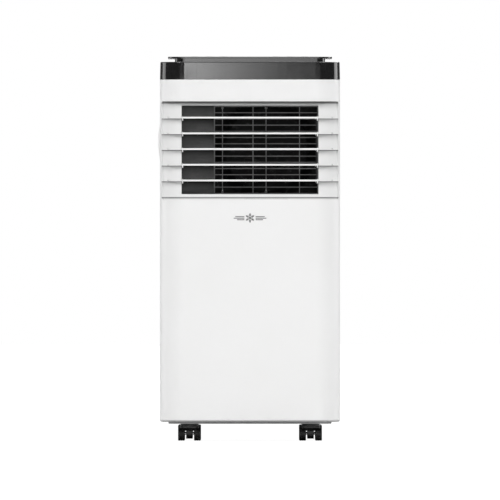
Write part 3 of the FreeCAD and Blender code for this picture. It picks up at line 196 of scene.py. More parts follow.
def gloss_moulding(name, light, dark, roughness, specular=0.5, peel=0.02 * MM, coat=0.0, painted_creases=None,
                   foot=None):
    """Smooth moulded plastic: slow drift of shade, faint orange peel and rubbed patches.

    Painted creases are what the crease shading method takes from top on: painted shade below each crease. A
    foot is two heights and what is left of the colour at the lower one: painted shade towards the casing's
    lower edge.
    """
    s = Shader(name)
    drift = s.spread(s.noise(DRIFT, 3.0), 0.35, 0.65)
    fleck = s.spread(s.noise(FLECK, 3.0), 0.3, 0.7)
    shade = s.mix(drift * 0.75 + fleck * 0.25, light, dark)
    # painted shade below each crease, darkest in a painted shadow line right under it
    if painted_creases:
        shade = s.paint_crease_shade(shade, light[0], *painted_creases)
    # painted shade, darker towards the casing's lower edge where its underside turns from the light
    if foot:
        low, high, left = foot
        shade = s.mix(s.spread(s.height(), low, high, 1.0, 0.0), shade, grey(light[0] * left))
    rubbed = s.spread(s.noise(RUBBED, 5.0, 0.6), 0.45, 0.8)
    hairline = s.spread(s.noise(FLECK, 2.0, 0.5, s.stretched(HAIRLINE)), 0.62, 0.72)
    relief = s.noise(PEEL, 1.0) * 0.7 + s.noise(FINE_PEEL, 1.0) * 0.3
    return s.finish(Base_Color=shade, Roughness=roughness + rubbed * 0.07 + hairline * 0.06, IOR=1.5,
                    Specular_IOR_Level=specular, Coat_Weight=coat, Coat_Roughness=0.06,
                    Normal=s.bump(relief, peel))


def grained_moulding(name, light, dark, roughness=0.5, grain=0.5 * MM, depth=0.06 * MM, specular=0.4,
                     painted_creases=None):
    """Spark-eroded mould texture: fine pits, worn shinier in soft patches, with a little pale dust."""
    s = Shader(name)
    pits = s.node("ShaderNodeTexVoronoi", {"feature": "SMOOTH_F1"},
                  {"Vector": s.space, "Scale": 1.0 / grain})
    worn = s.spread(s.noise(WORN, 4.0, 0.6), 0.5, 0.75)
    dust = s.spread(s.noise(DUST, 6.0, 0.7), 0.55, 0.85)
    shade = s.mix(dust * 0.6, s.mix(worn, dark, light), grey(0.10))
    # painted shade below each crease, darkest right under it
    if painted_creases:
        shade = s.paint_crease_shade(shade, light[0], *painted_creases)
    relief = pits + s.noise(grain * 3.0, 2.0) * 0.6
    return s.finish(Base_Color=shade, Roughness=roughness - worn * 0.12 + dust * 0.1,
                    Specular_IOR_Level=specular, Normal=s.bump(relief, depth, 0.8))


def brushed_metal(name, colour, dull, roughness, along):
    """Metal with fine drawn lines along one direction and dull blotches."""
    s = Shader(name)
    lines = s.noise(DRAWN_LINE, 3.0, 0.6, s.stretched(along))
    blotch = s.spread(s.noise(BLOTCH, 4.0), 0.4, 0.75)
    shade = s.mix(blotch, colour, dull)
    return s.finish(Base_Color=shade, Metallic=1.0 - blotch * 0.15,
                    Roughness=roughness + lines * 0.18 + blotch * 0.1, Normal=s.bump(lines, 0.03 * MM, 0.6))


def fin_stock(name):
    """Aluminium fins packed edge on, gently wavy: thin light edges, with painted shade for the dark gaps
    between them.
    """
    s = Shader(name)
    wave = s.node("ShaderNodeTexWave", {"bands_direction": "X"}, {
        "Vector": s.space, "Scale": FIN_WAVES, "Distortion": 0.6, "Detail": 1.0, "Detail Scale": 0.4})
    stain = s.spread(s.noise(WORN, 4.0), 0.4, 0.8)
    edge = s.spread(wave, 0.35, 0.75)
    # grey(0.10) in the gaps is painted shade between the fins; the lighter greys are the aluminium, stained
    # in patches
    shade = s.mix(edge, grey(0.10), s.mix(stain, grey(0.72, COOL), grey(0.5)))
    return s.finish(Base_Color=shade, Metallic=edge * 0.8, Roughness=0.55 - edge * 0.2,
                    Normal=s.bump(wave, 0.4 * MM))


def woven_net(name):
    """The filter's net: dark threads crossing in two directions over a grey felt."""
    s = Shader(name)
    waves = {"Vector": s.space, "Scale": NET_WAVES, "Distortion": 0.15, "Detail": 1.0}
    threads = [s.node("ShaderNodeTexWave", {"bands_direction": way}, waves) for way in ("X", "Z")]
    weave = s.math("MAXIMUM", *threads)
    thread = s.spread(weave, 0.6, 0.85)
    lint = s.spread(s.noise(BLOTCH, 5.0, 0.7), 0.5, 0.8)
    shade = s.mix(lint * 0.5, s.mix(thread, grey(0.02), grey(0.11)), grey(0.2))
    return s.finish(Base_Color=shade, Roughness=0.75 - thread * 0.15, Normal=s.bump(weave, 0.4 * MM))


def circuit_board(name):
    """Green lacquer over copper runs laid out in a loose grid."""
    s = Shader(name)
    runs = s.node("ShaderNodeTexBrick", {"offset": 0.37, "squash": 1.0}, {
        "Vector": s.space, "Scale": BOARD_BRICKS, "Mortar Size": 0.05, "Brick Width": 0.9,
        "Row Height": 0.2}, "Fac")
    speckle = s.spread(s.noise(SPECKLE, 3.0), 0.4, 0.7)
    shade = s.mix(runs, s.mix(speckle, LACQUER, LACQUER_LIGHT), LACQUER_ON_COPPER)
    return s.finish(Base_Color=shade, Roughness=0.3 + speckle * 0.1, Normal=s.bump(runs, 0.06 * MM))


def printed_ink(name, colour, worn):
    """Pad-printed ink, a little thin in places."""
    s = Shader(name)
    thin = s.spread(s.noise(INK_THIN, 4.0, 0.7), 0.5, 0.8)
    return s.finish(Base_Color=s.mix(thin, colour, worn), Roughness=0.42 + thin * 0.15,
                    Normal=s.bump(thin, 0.02 * MM))


def lit_segment(name):
    """A digit segment glowing through smoked plastic, a little uneven."""
    s = Shader(name)
    cloud = s.spread(s.noise(FLECK, 2.0), 0.3, 0.7)
    glow = s.mix(cloud, GLOW, GLOW_BRIGHT)
    return s.finish(Base_Color=s.mix(cloud, LENS, LENS_LIGHT), Roughness=0.3 + cloud * 0.1,
                    Emission_Color=glow, Emission_Strength=1.6)


def studio_floor(name, level, glow):
    """Matt floor of an even grey, which may glow."""
    s = Shader(name)
    mottle = s.noise(MOTTLE, 4.0)
    shade = s.mix(mottle * 0.3, grey(level), grey(level * 0.98))
    return s.finish(Base_Color=shade, Roughness=0.9, Specular_IOR_Level=0.0,
                    Emission_Color=grey(1.0), Emission_Strength=glow)


LEDGE_TOP_SPARE = 2.3 * MM   # how much taller the top ledge is than the others
FOOT_SHADE = (1.0 * MM, 4.5 * MM)  # above the casing's lower edge, where its painted shade is full and where it ends
FOOT_SHADE_LEFT = 0.35             # what is left of the colour where the painted shade is full
ledge_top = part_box("louvre_frame")[1].z - LEDGE_TOP_SPARE
blade_pitch = (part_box("blade_1")[0].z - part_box("blade_5")[0].z) / (len(BLADES) - 1)
foot_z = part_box("front_casing")[0].z

# the casing takes painted shade near its lower edge
casing_white = gloss_moulding("casing_white", grey(0.86), grey(0.845, IVORY), 0.38, 0.38,
                              foot=(foot_z + FOOT_SHADE[0], foot_z + FOOT_SHADE[1], FOOT_SHADE_LEFT))
louvre_white = gloss_moulding("louvre_white", grey(0.90), grey(0.88, IVORY), 0.42, 0.35, 0.03 * MM)
# the ledges take painted shade and a painted shadow line below each lip
ledge_white = gloss_moulding("ledge_white", grey(0.80), grey(0.78, IVORY), 0.42, 0.35, 0.03 * MM,
                             painted_creases=(ledge_top, blade_pitch, 0.5, 0.55, 0.22))
piano_black = gloss_moulding("piano_black", grey(0.006), grey(0.009, INKY), 0.10, 0.55, 0.008 * MM, 0.3)
window_smoke = gloss_moulding("window_smoke", grey(0.003), grey(0.005, SMOKE), 0.04, 0.6, 0.004 * MM, 0.6)
button_satin = gloss_moulding("button_satin", grey(0.018), grey(0.025), 0.28, 0.5)
deep_black = grained_moulding("deep_black", grey(0.016), grey(0.009), 0.42)
# the duct takes painted shade, darkest under each blade and lighter further down
duct_black = grained_moulding("duct_black", grey(0.16), grey(0.13), 0.6, 0.6 * MM, specular=0.1,
                              painted_creases=(ledge_top, blade_pitch, 1.3, 0.04, 0.04))
shadow_black = grained_moulding("shadow_black", grey(0.005), grey(0.003), 0.7, 0.6 * MM, specular=0.15)
guard_black = grained_moulding("guard_black", grey(0.17), grey(0.14), 0.5, 0.4 * MM, 0.03 * MM)
wheel_black = grained_moulding("wheel_black", grey(0.028), grey(0.015), 0.5, 0.7 * MM)
rubber_black = grained_moulding("rubber_black", grey(0.022), grey(0.014), 0.75, 0.9 * MM, 0.08 * MM, 0.25)
base_grey = grained_moulding("base_grey", grey(0.30), grey(0.24), 0.5, 0.6 * MM)
scroll_grey = grained_moulding("scroll_grey", grey(0.10), grey(0.07), 0.6, 0.6 * MM)
enamel_black = gloss_moulding("enamel_black", grey(0.015), grey(0.03), 0.3, 0.5, 0.08 * MM)
plated_steel = brushed_metal("plated_steel", grey(0.62), grey(0.42), 0.25, (0.05, 1.0, 1.0))
turned_steel = brushed_metal("turned_steel", grey(0.66), grey(0.5), 0.22, (1.0, 0.1, 0.1))
drawn_copper = brushed_metal("drawn_copper", COPPER, COPPER_DULL, 0.25, (1.0, 1.0, 0.1))
fins = fin_stock("fins")
net = woven_net("net")
board = circuit_board("board")
ink_grey = printed_ink("ink_grey", grey(0.10), grey(0.15))
ink_white = printed_ink("ink_white", grey(0.7), grey(0.45))
segment_glow = lit_segment("segment_glow")

NODE_FINISH = {
    casing_white: ["front_casing", "rear_casing", "grip_left", "grip_right", "filter_cover",
                   "condenser_grille", "exhaust_collar"],
    ledge_white: ["louvre_frame"],
    louvre_white: [f"blade_{number}" for number in BLADES],
    piano_black: ["top_cover", "control_plate"],
    window_smoke: ["display_window"],
    button_satin: [f"button_{number}" for number in BUTTONS],
    duct_black: ["outlet_duct"],
    guard_black: ["guard_grille", "vane_1", "vane_2"],
    deep_black: ["blade_link", "lower_impeller", "cord_hooks"] + [f"caster_hood_{at}" for at in CASTERS],
    wheel_black: [f"caster_wheels_{at}" for at in CASTERS],
    rubber_black: ["compressor_mounts", "cord_gland", "drain_cap"],
    base_grey: ["base_pan"],
    shadow_black: ["upper_scroll", "upper_impeller"],
    scroll_grey: ["lower_scroll", "drip_tray", "electric_box"],
    enamel_black: ["compressor"],
    plated_steel: ["upper_motor", "lower_motor", "case_screws"],
    turned_steel: [f"caster_axle_{at}" for at in CASTERS],
    drawn_copper: ["refrigerant_pipes"],
    fins: ["evaporator_coil", "condenser_coil"],
    net: ["filter_mesh"],
    board: ["display_board", "control_board"],
}
for finish, names in NODE_FINISH.items():
    for node_name in names:
        held = nodes[node_name].data.materials
        held.clear()
        held.append(finish)


# ================================================================ mesh helpers
SEAM = 0.01 * MM             # spun points closer than this are one
WELD = 0.001 * MM            # points of a CAD mesh closer than this are one
FLAT_DEG = 0.3               # faces that meet at less than this are one
EASED_DEG = 35.0             # edges of a shell sharper than this are rounded
NORMAL_WEIGHT = 80           # how far large faces rule the shading at their edges


def body_of(node):
    """The body that a CAD node rides on."""
    return next(body for body, held in frame["record"]["behaviour"]["bodies"].items() if node in held)


def slot_of(node):
    """The material slot of a CAD node."""
    return next(row["material_slot"] for row in frame["record"]["subparts"] if row["node"] == node)


def piece(name, bm, material, like, replaces=(), smooth=35.0):
    """Make an object of a bmesh. It rides with the CAD node it is like; that node's slot is looked up but not
    set on it.
    """
    bmesh.ops.recalc_face_normals(bm, faces=bm.faces)
    mesh = bpy.data.meshes.new(name)
    bm.to_mesh(mesh)
    bm.free()
    mesh.materials.append(material)
    mesh.shade_smooth()
    mesh.set_sharp_from_angle(angle=math.radians(smooth))
    made = bpy.data.objects.new(name, mesh)
    bpy.context.scene.collection.objects.link(made)
    even = made.modifiers.new("even_normals", "WEIGHTED_NORMAL")
    even.keep_sharp = True
    even.weight = NORMAL_WEIGHT
    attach(made, body_of(like))
    slot_of(like)
    if replaces:
        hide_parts(*replaces)


def block(bm, low, high):
    """Add a box between two corners."""
    low = Vector(low)
    size = Vector(high) - low
    place = Matrix.Translation(low + size / 2) @ Matrix.Diagonal((*size, 1.0))
    return bmesh.ops.create_cube(bm, size=1.0, matrix=place)["verts"]


def lathe(bm, profile, centre, axis, steps):
    """Spin a run of (radius, along) points round X or Y. A run that starts off the axis is closed."""
    turn = {"X": Matrix.Rotation(math.pi / 2, 4, "Y"), "Y": Matrix.Rotation(-math.pi / 2, 4, "X")}[axis]
    place = Matrix.Translation(centre) @ turn
    line = [bm.verts.new(place @ Vector((radius, 0.0, along))) for radius, along in profile]
    edges = [bm.edges.new(pair) for pair in zip(line, line[1:])]
    if profile[0][0] > 0.0:
        edges.append(bm.edges.new((line[-1], line[0])))
    bmesh.ops.spin(bm, geom=line + edges, cent=centre, axis=place.to_3x3() @ Vector((0, 0, 1)),
                   angle=math.tau, steps=steps, use_merge=True)
    bmesh.ops.remove_doubles(bm, verts=bm.verts, dist=SEAM)


def soften(bm, width, angle=30.0):
    """Round every edge sharper than an angle."""
    sharp = [e for e in bm.edges if len(e.link_faces) == 2 and e.calc_face_angle() > math.radians(angle)]
    bmesh.ops.bevel(bm, geom=sharp, offset=width, offset_type="OFFSET", segments=2, profile=0.5,
                    affect="EDGES", clamp_overlap=True, material=-1)


def eased(node, width, material):
    """A copy of a CAD node whose sharp edges are rounded a little, shown in its place."""
    bm = bmesh.new()
    bm.from_mesh(nodes[node].data)
    bmesh.ops.remove_doubles(bm, verts=bm.verts, dist=WELD)
    bmesh.ops.dissolve_limit(bm, angle_limit=math.radians(FLAT_DEG), verts=bm.verts, edges=bm.edges)
    soften(bm, width, EASED_DEG)
    piece(f"{node}_shell", bm, material, node, [node])


# ================================================================ camera, light and floor
CAMERA_BACK = 40.0
CAMERA_UP = 0.3475
VIEW_WIDTH = 0.9100          # what the view spans at the object's front
VIEW_END = 200.0
SENSOR = 36.0
AMBIENT = 0.10               # brightness of the surroundings, which the camera itself sees as white
FLOOR_REACH = 40.0
SEEN_UP = 0.1 * MM           # keeps the two sheets of the floor apart
front_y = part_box("front_casing")[0].y

camera_data = bpy.data.cameras.new("camera")
camera_data.sensor_width = SENSOR
camera_data.lens = SENSOR * (CAMERA_BACK + front_y) / VIEW_WIDTH
camera_data.clip_end = VIEW_END
camera = bpy.data.objects.new("camera", camera_data)
camera.location = (0.0, -CAMERA_BACK, CAMERA_UP)
camera.rotation_euler = (math.pi / 2, 0.0, 0.0)
bpy.context.scene.collection.objects.link(camera)
bpy.context.scene.camera = camera
bpy.context.scene.view_settings.view_transform = "Standard"


def softbox(name, place, aim, width, height, radiance):
    """An area light given by its brightness per area."""
    data = bpy.data.lights.new(name, "AREA")
    data.shape = "RECTANGLE"
    data.size = width
    data.size_y = height
    data.energy = radiance * math.pi * width * height
    made = bpy.data.objects.new(name, data)
    made.location = place
    made.rotation_euler = (Vector(aim) - Vector(place)).to_track_quat("-Z", "Y").to_euler()
    made.visible_camera = False
    bpy.context.scene.collection.objects.link(made)


def distant(name, towards, spread_deg, strength):
    """A far light in a given direction, soft by its spread."""
    data = bpy.data.lights.new(name, "SUN")
    data.angle = math.radians(spread_deg)
    data.energy = strength
    made = bpy.data.objects.new(name, data)
    made.rotation_euler = (-Vector(towards)).to_track_quat("-Z", "Y").to_euler()
    bpy.context.scene.collection.objects.link(made)


distant("overhead", (0.0, 0.1, 1.0), 50.0, 1.38)
distant("upper_left", (-0.45, -0.6, 0.85), 14.0, 1.20)
distant("upper_right", (0.5, -0.6, 0.7), 25.0, 0.86)
distant("rear", (0.25, 0.9, 0.55), 30.0, 0.9)
softbox("front_low", (0.0, -7.0, 0.35), (0.0, 0.0, 0.35), 6.0, 1.1, 2.95)
softbox("left_edge", (-3.0, 1.2, 0.7), (0.0, 0.0, 0.4), 1.4, 1.6, 1.9)
softbox("right_edge", (3.0, 1.2, 0.7), (0.0, 0.0, 0.4), 1.4, 1.6, 2.7)

# a row of strips, strong on the left and fading to the right, which the gloss band reflects as a ramp
RAMP_STRIPS = 10
RAMP_REACH = 0.191
RAMP_Y = -3.0
RAMP_Z = 0.99                # high enough that the upright neck above the band stays nearly dark
RAMP_HEIGHT = 0.44
RAMP_PEAK = 10.0
RAMP_FADE = 2.3
for strip in range(RAMP_STRIPS):
    share = (strip + 0.5) / RAMP_STRIPS
    strip_x = RAMP_REACH * (2 * share - 1)
    softbox(f"ramp_{strip}", (strip_x, RAMP_Y, RAMP_Z), (strip_x, 0.0, RAMP_Z),
            2 * RAMP_REACH / RAMP_STRIPS, RAMP_HEIGHT, RAMP_PEAK * (1 - share) ** RAMP_FADE)

world = bpy.data.worlds.new("studio")
world.use_nodes = True
bpy.context.scene.world = world
world_tree = world.node_tree
backdrop = world_tree.nodes["Background"]
rays = world_tree.nodes.new("ShaderNodeLightPath")
world_level = world_tree.nodes.new("ShaderNodeMapRange")
world_level.inputs["To Min"].default_value = AMBIENT
world_level.inputs["To Max"].default_value = 1.0
world_tree.links.new(rays.outputs["Is Camera Ray"], world_level.inputs["Value"])
world_tree.links.new(world_level.outputs["Result"], backdrop.inputs["Strength"])
backdrop.inputs["Color"].default_value = (1.0, 1.0, 1.0, 1.0)


def ground(name, material):
    """A wide level sheet on the floor."""
    sheet = bmesh.new()
    bmesh.ops.create_grid(sheet, x_segments=1, y_segments=1, size=FLOOR_REACH)
    mesh = bpy.data.meshes.new(name)
    sheet.to_mesh(mesh)
    sheet.free()
    mesh.materials.append(material)
    made = bpy.data.objects.new(name, mesh)
    bpy.context.scene.collection.objects.link(made)
    return made


# the sheet that is seen glows white, and the sheet that lights the object from below takes its shadow
seen = ground("floor", studio_floor("floor_seen", level=0.10, glow=0.95))
seen.location.z = SEEN_UP
seen.visible_diffuse = False
seen.visible_glossy = False
seen.visible_shadow = False
bounce = ground("floor_bounce", studio_floor("floor_bounce", level=0.80, glow=0.0))
bounce.visible_camera = False


# ================================================================ shells with eased edges
CASING_EDGE = 0.35 * MM
BLADE_EDGE = 0.25 * MM
TRIM_EDGE = 0.4 * MM
for node_name in ("front_casing", "rear_casing", "louvre_frame", "grip_left", "grip_right", "filter_cover",
                  "condenser_grille"):
    eased(node_name, CASING_EDGE, ledge_white if node_name == "louvre_frame" else casing_white)
for number in BLADES:
    eased(f"blade_{number}", BLADE_EDGE, louvre_white)
for node_name in ("top_cover", "control_plate"):
    eased(node_name, TRIM_EDGE, piano_black)
for node_name in [f"caster_hood_{at}" for at in CASTERS] + ["cord_hooks"]:
    eased(node_name, TRIM_EDGE, deep_black)
eased("base_pan", TRIM_EDGE, base_grey)
eased("drain_cap", TRIM_EDGE, rubber_black)


# ================================================================ casters
WHEEL_W = 12.4 * MM          # width of one wheel
WHEEL_STEPS = 56             # flats round a wheel
WHEEL_SMOOTH_DEG = 32.0      # edges sharper than this show as sharp
WHEEL_BORE_R = 2.05 * MM
WHEEL_BORE_END = 2.5 * MM    # solid plastic left between the blind bore and the outer face
INNER_RING = 3.4 * MM        # the flat inner face is divided this far in from the tread
GROOVES = (0.36, 0.64)       # places of the grooves round the tread, as shares of the width
# (in from the tread, away from a face or from the groove's middle)
TREAD_EDGE = ((1.4 * MM, 0.0), (0.4 * MM, 0.5 * MM), (0.0, 1.5 * MM))
GROOVE = ((0.0, -0.5 * MM), (0.45 * MM, -0.2 * MM), (0.45 * MM, 0.2 * MM), (0.0, 0.5 * MM))
DISH = ((3.2 * MM, 0.0), (3.8 * MM, 1.3 * MM), (6.4 * MM, 1.7 * MM))
# (radius, below the outer face)
HUB = ((4.6 * MM, 1.2 * MM), (4.2 * MM, 0.3 * MM), (3.4 * MM, 0.0), (0.0, 0.0))


def wheel_section(radius, width):
    """Half of a wheel cut through its axis, from the blind bore to the outer face, as (radius, along)."""
    bore_end = width - WHEEL_BORE_END
    section = [(0.0, bore_end), (WHEEL_BORE_R, bore_end), (WHEEL_BORE_R, 0.0), (radius - INNER_RING, 0.0)]
    section += [(radius - inward, along) for inward, along in TREAD_EDGE]
    for share in GROOVES:
        section += [(radius - deep, share * width + along) for deep, along in GROOVE]
    section += [(radius - inward, width - along) for inward, along in reversed(TREAD_EDGE)]
    section += [(radius - inward, width - below) for inward, below in DISH]
    return section + [(hub_r, width - below) for hub_r, below in HUB]


for caster in CASTERS:
    low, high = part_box(f"caster_wheels_{caster}")
    middle = (low + high) / 2
    wheels = bmesh.new()
    for side, face_x in ((-1, low.x + WHEEL_W), (1, high.x - WHEEL_W)):
        section = [(radius, side * along) for radius, along in wheel_section((high.z - low.z) / 2, WHEEL_W)]
        lathe(wheels, section, (face_x, middle.y, middle.z), "X", WHEEL_STEPS)
    piece(f"wheels_{caster}", wheels, wheel_black, f"caster_wheels_{caster}",
          [f"caster_wheels_{caster}"], WHEEL_SMOOTH_DEG)


# ================================================================ hose port and gland
PORT_STEPS = 128             # flats round the hose port
BORE_R = 65.0 * MM
FLANGE_REACH = 4.0 * MM
# (into the wall, back from the tube's end)
RIM = ((0.0, 0.8 * MM), (0.3 * MM, 0.2 * MM), (1.0 * MM, 0.0))
# (out from the tube, along)
BEAD = ((0.0, 10.4 * MM), (1.1 * MM, 9.6 * MM), (1.1 * MM, 8.4 * MM), (0.0, 7.6 * MM))
TUBE_FOOT = ((0.0, 4.4 * MM), (0.5 * MM, 3.4 * MM), (1.6 * MM, 3.0 * MM))
# (in from the flange's edge, along)
FLANGE_EDGE = ((0.7 * MM, 3.0 * MM), (0.2 * MM, 2.8 * MM), (0.0, 2.2 * MM))
LUG_COUNT = 4
LUG_HALF = 8.0 * MM
LUG_ALONG = (11.6 * MM, 14.0 * MM)
LUG_ROOT = 0.6 * MM
LUG_PROUD = 2.2 * MM
GLAND_STEPS = 48
CORD_HOLE_R = 4.0 * MM
CORD_HOLE_EDGE = 0.5 * MM
GLAND_ROUND = 2.5 * MM
GLAND_ROUND_STEPS = 4
GLAND_SHOULDER = 2.05 * MM

port_low, port_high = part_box("exhaust_collar")
port_r = (port_high.x - port_low.x) / 2
tube_r = port_r - FLANGE_REACH
rear_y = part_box("rear_casing")[1].y
port_at = Vector(((port_low.x + port_high.x) / 2, rear_y, (port_low.z + port_high.z) / 2))
back_end = port_low.y - rear_y
rim_end = port_high.y - rear_y
collar_section = [(BORE_R, back_end)]
collar_section += [(BORE_R + inward, rim_end - back) for inward, back in RIM]
collar_section += [(tube_r - inward, rim_end - back) for inward, back in reversed(RIM)]
collar_section += [(tube_r + out, along) for out, along in BEAD + TUBE_FOOT]
collar_section += [(port_r - inward, along) for inward, along in FLANGE_EDGE]
collar_section += [(port_r, 0.0), (tube_r, 0.0), (tube_r, back_end)]
collar = bmesh.new()
lathe(collar, collar_section, port_at, "Y", PORT_STEPS)
for turn in range(LUG_COUNT):
    spin = Matrix.Translation(port_at) @ Matrix.Rotation(math.tau * (turn + 0.5) / LUG_COUNT, 4, "Y")
    lug = block(collar, (-LUG_HALF, LUG_ALONG[0], tube_r - LUG_ROOT),
                (LUG_HALF, LUG_ALONG[1], tube_r + LUG_PROUD))
    bmesh.ops.transform(collar, matrix=spin, verts=lug)
piece("hose_collar", collar, casing_white, "exhaust_collar", ["exhaust_collar"])

gland_low, gland_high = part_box("cord_gland")
gland_at = Vector(((gland_low.x + gland_high.x) / 2, rear_y, (gland_low.z + gland_high.z) / 2))
gland_r = (gland_high.x - gland_low.x) / 2
gland_start = gland_low.y - rear_y
gland_end = gland_high.y - rear_y
gland_section = [(CORD_HOLE_R, gland_start), (CORD_HOLE_R, gland_end - CORD_HOLE_EDGE),
                 (CORD_HOLE_R + CORD_HOLE_EDGE, gland_end)]
for step in range(1, GLAND_ROUND_STEPS + 1):
    lean = math.pi / 2 * step / GLAND_ROUND_STEPS
    gland_section.append((gland_r - GLAND_ROUND * (1 - math.sin(lean)),
                          gland_end - GLAND_ROUND * (1 - math.cos(lean))))
gland_section += [(gland_r, 0.0), (gland_r - GLAND_SHOULDER, 0.0), (gland_r - GLAND_SHOULDER, gland_start)]
gland = bmesh.new()
lathe(gland, gland_section, gland_at, "Y", GLAND_STEPS)
piece("cord_grommet", gland, rubber_black, "cord_gland", ["cord_gland"])


# ================================================================ small trims
ROOT = 0.3 * MM              # how far a trim reaches into what it stands on
TAB_HALF = 24.0 * MM
TAB_DROP = (7.4 * MM, 1.2 * MM)      # foot and top of the tab below the top of the filter cover
TAB_PROUD = 1.2 * MM
TAB_EDGE = 0.3 * MM
RIBS = 9
RIB_HALF = 0.6 * MM
RIB_PROUD = 0.7 * MM
RIB_SHORT = 1.2 * MM         # ribs stop this far from the tab's foot and top
VANES = (1, 2)
STUD_STEPS = 24
STUD_R = 1.3 * MM
STUD_UP = 9.5 * MM           # stud above the foot of its vane
# (share of the radius, mm along; negative is towards the front)
STUD = ((0.0, 0.5), (1.0, 0.5), (1.0, -0.3), (0.75, -0.8), (0.4, -1.0), (0.0, -1.1))

cover_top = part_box("filter_cover")[1].z
tab_foot = cover_top - TAB_DROP[0]
tab_top = cover_top - TAB_DROP[1]
tab_face = rear_y + TAB_PROUD
tab = bmesh.new()
block(tab, (-TAB_HALF, rear_y - ROOT, tab_foot), (TAB_HALF, tab_face, tab_top))
rib_pitch = 2 * TAB_HALF / (RIBS + 1)
for rib in range(1, RIBS + 1):
    rib_x = rib * rib_pitch - TAB_HALF
    block(tab, (rib_x - RIB_HALF, tab_face - ROOT, tab_foot + RIB_SHORT),
          (rib_x + RIB_HALF, tab_face + RIB_PROUD, tab_top - RIB_SHORT))
soften(tab, TAB_EDGE)
piece("filter_pull_tab", tab, casing_white, "filter_cover")

for number in VANES:
    low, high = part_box(f"vane_{number}")
    stud = bmesh.new()
    lathe(stud, [(STUD_R * share, along * MM) for share, along in STUD],
          Vector(((low.x + high.x) / 2, low.y, low.z + STUD_UP)), "Y", STUD_STEPS)
    piece(f"vane_{number}_stud", stud, plated_steel, f"vane_{number}")


# ================================================================ printed marks and display
INK = 0.06 * MM              # thickness of printed ink
FLAKE_ARMS = 6
TWIGS = ((0.45, 0.26), (0.72, 0.2))      # (place, length) as shares of an arm
TWIG_LEAN = 0.9              # radians between a twig and its arm
TWIG_THIN = 0.8              # a twig's width as a share of the arm's


def on_plane(origin, way):
    """The place of a print, whose own X and Y lie on the surface. Way 'Z' is on top, 'Y' is in front."""
    upright = Matrix.Rotation(math.pi / 2, 4, "X") if way == "Y" else Matrix.Identity(4)
    return Matrix.Translation(origin) @ upright


def stroke(bm, start, end, width, plane_at, way):
    """A flat printed bar between two points of a plane."""
    start = Vector(start)
    end = Vector(end)
    run = end - start
    turn = math.atan2(run.y, run.x)
    flat = Matrix.Translation((*((start + end) / 2), 0.0)) @ Matrix.Rotation(turn, 4, "Z")
    flat = flat @ Matrix.Diagonal((run.length + width, width, INK, 1.0))
    bmesh.ops.create_cube(bm, size=1.0, matrix=on_plane(plane_at, way) @ flat)


def ring(bm, radius, width, plane_at, way, start=0.0, turn=math.tau, steps=40):
    """A flat printed arc or ring."""
    place = on_plane(plane_at, way)
    inner = radius - width / 2
    outer = radius + width / 2
    corners = [(inner, -INK / 2), (outer, -INK / 2), (outer, INK / 2), (inner, INK / 2)]
    first = Matrix.Rotation(start, 4, "Z")
    line = [bm.verts.new(place @ first @ Vector((r, 0.0, h))) for r, h in corners]
    face = bm.faces.new(line)
    bmesh.ops.spin(bm, geom=[face] + list(face.edges) + line, cent=place.translation,
                   axis=place.to_3x3() @ Vector((0, 0, 1)), angle=turn, steps=steps,
                   use_merge=turn >= math.tau)


def snowflake(bm, size, width, plane_at, way):
    """Arms round a middle, each with two pairs of twigs."""
    for arm in range(FLAKE_ARMS):
        angle = math.tau * arm / FLAKE_ARMS + math.pi / FLAKE_ARMS
        out = Vector((math.cos(angle), math.sin(angle)))
        stroke(bm, (0.0, 0.0), out * size, width, plane_at, way)
        for share, twig in TWIGS:
            root = out * size * share
            for side in (-1, 1):
                lean = Vector((math.cos(angle + side * TWIG_LEAN), math.sin(angle + side * TWIG_LEAN)))
                stroke(bm, root, root + lean * size * twig, width * TWIG_THIN, plane_at, way)


# marks on the buttons
SIGN_REACH = 2.0 * MM        # middle to the end of a plus or minus bar
SIGN_LINE = 0.6 * MM
POWER_R = 2.1 * MM
POWER_LINE = 0.5 * MM
POWER_ARC = (math.radians(125), math.radians(290))   # start and length of the open ring
POWER_BAR = (0.9 * MM, 2.7 * MM)
CLOCK_R = 2.3 * MM
CLOCK_LINE = 0.45 * MM
HAND_LINE = 0.4 * MM
LONG_HAND = (0.0, 1.5 * MM)
SHORT_HAND = (1.0 * MM, -0.5 * MM)
FAN_BLADES = 3
FAN_TURN = 0.4               # radians
FAN_BLADE_OUT = 1.5 * MM
FAN_BLADE_R = 0.95 * MM
FAN_LINE = 0.4 * MM
FAN_HUB_R = 0.3 * MM
FAN_HUB_LINE = 0.5 * MM
COOL_ARM = 2.4 * MM
COOL_LINE = 0.35 * MM


def power_mark(bm, place):
    ring(bm, POWER_R, POWER_LINE, place, "Z", *POWER_ARC, 28)
    stroke(bm, (0, POWER_BAR[0]), (0, POWER_BAR[1]), POWER_LINE, place, "Z")


def minus_mark(bm, place):
    stroke(bm, (-SIGN_REACH, 0), (SIGN_REACH, 0), SIGN_LINE, place, "Z")


def plus_mark(bm, place):
    minus_mark(bm, place)
    stroke(bm, (0, -SIGN_REACH), (0, SIGN_REACH), SIGN_LINE, place, "Z")


def clock_mark(bm, place):
    ring(bm, CLOCK_R, CLOCK_LINE, place, "Z")
    stroke(bm, (0, 0), LONG_HAND, HAND_LINE, place, "Z")
    stroke(bm, (0, 0), SHORT_HAND, HAND_LINE, place, "Z")


def fan_mark(bm, place):
    for blade in range(FAN_BLADES):
        angle = math.tau * blade / FAN_BLADES + FAN_TURN
        middle = Vector(place) + Vector((math.cos(angle), math.sin(angle), 0.0)) * FAN_BLADE_OUT
        ring(bm, FAN_BLADE_R, FAN_LINE, middle, "Z", steps=20)
    ring(bm, FAN_HUB_R, FAN_HUB_LINE, place, "Z", steps=12)


def cool_mark(bm, place):
    snowflake(bm, COOL_ARM, COOL_LINE, place, "Z")


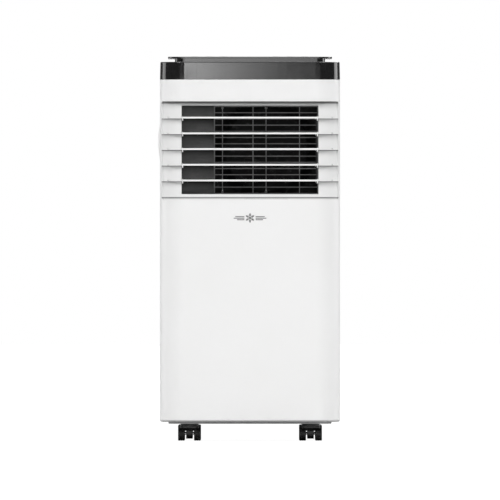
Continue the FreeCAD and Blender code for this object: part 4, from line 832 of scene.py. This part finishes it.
for number, draw in enumerate((fan_mark, clock_mark, power_mark, minus_mark, plus_mark, cool_mark), 1):
    low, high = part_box(f"button_{number}")
    marks = bmesh.new()
    draw(marks, ((low.x + high.x) / 2, (low.y + high.y) / 2, high.z))
    piece(f"button_{number}_mark", marks, ink_white, f"button_{number}")

# digits in the display window
DIGIT = 5.0 * MM             # half a digit's height
DIGIT_STEP = 2.2             # between digits, in half heights
SEGMENT = 1.1 * MM
SEGMENT_GAP = 0.75           # left free at the ends of a segment, as a share of SEGMENT
SEGMENT_THIN = 0.7
SEGMENTS = {"top": ((-1, 2), (1, 2)), "middle": ((-1, 0), (1, 0)), "bottom": ((-1, -2), (1, -2)),
            "upper_left": ((-1, 0), (-1, 2)), "upper_right": ((1, 0), (1, 2)),
            "lower_left": ((-1, -2), (-1, 0)), "lower_right": ((1, -2), (1, 0))}
READING = (("top", "upper_right", "middle", "lower_left", "bottom"),
           ("upper_left", "upper_right", "middle", "lower_right"))
DEGREE_R = 0.8 * MM
DEGREE_LINE = 0.35 * MM
DEGREE_AT = (2.3, 0.8)       # right and up from the middle, in half heights
window_low, window_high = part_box("display_window")
window_middle = (window_low + window_high) / 2
digits = bmesh.new()
for place, lit in enumerate(READING):
    digit_at = (window_middle.x + (place - 0.5) * DIGIT * DIGIT_STEP, window_middle.y, window_high.z)
    for name in lit:
        start, end = [Vector((x * DIGIT * 0.5, y * DIGIT * 0.5)) for x, y in SEGMENTS[name]]
        gap = (end - start).normalized() * SEGMENT * SEGMENT_GAP
        stroke(digits, start + gap, end - gap, SEGMENT * SEGMENT_THIN, digit_at, "Z")
degree_at = (window_middle.x + DIGIT * DEGREE_AT[0], window_middle.y + DIGIT * DEGREE_AT[1], window_high.z)
ring(digits, DEGREE_R, DEGREE_LINE, degree_at, "Z")
piece("display_digits", digits, segment_glow, "display_window")

# badge on the front casing
BADGE_DROP = 34.7 * MM       # louvre recess to the middle of the badge
BADGE_ARM = 8.0 * MM
BADGE_LINE = 1.3 * MM
BAR_START = 11.0 * MM
BAR_WIDTH = 1.5 * MM
BARS = ((2.4, 26.0), (-0.4, 29.0), (-3.2, 23.0))     # (up, outer end) from the middle, in mm
badge = bmesh.new()
badge_at = Vector((0.0, front_y - INK / 2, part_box("louvre_frame")[0].z - BADGE_DROP))
snowflake(badge, BADGE_ARM, BADGE_LINE, badge_at, "Y")
for side in (-1, 1):
    for up, reach in BARS:
        stroke(badge, (side * BAR_START, up * MM), (side * reach * MM, up * MM), BAR_WIDTH, badge_at, "Y")
piece("front_badge", badge, ink_grey, "front_casing")
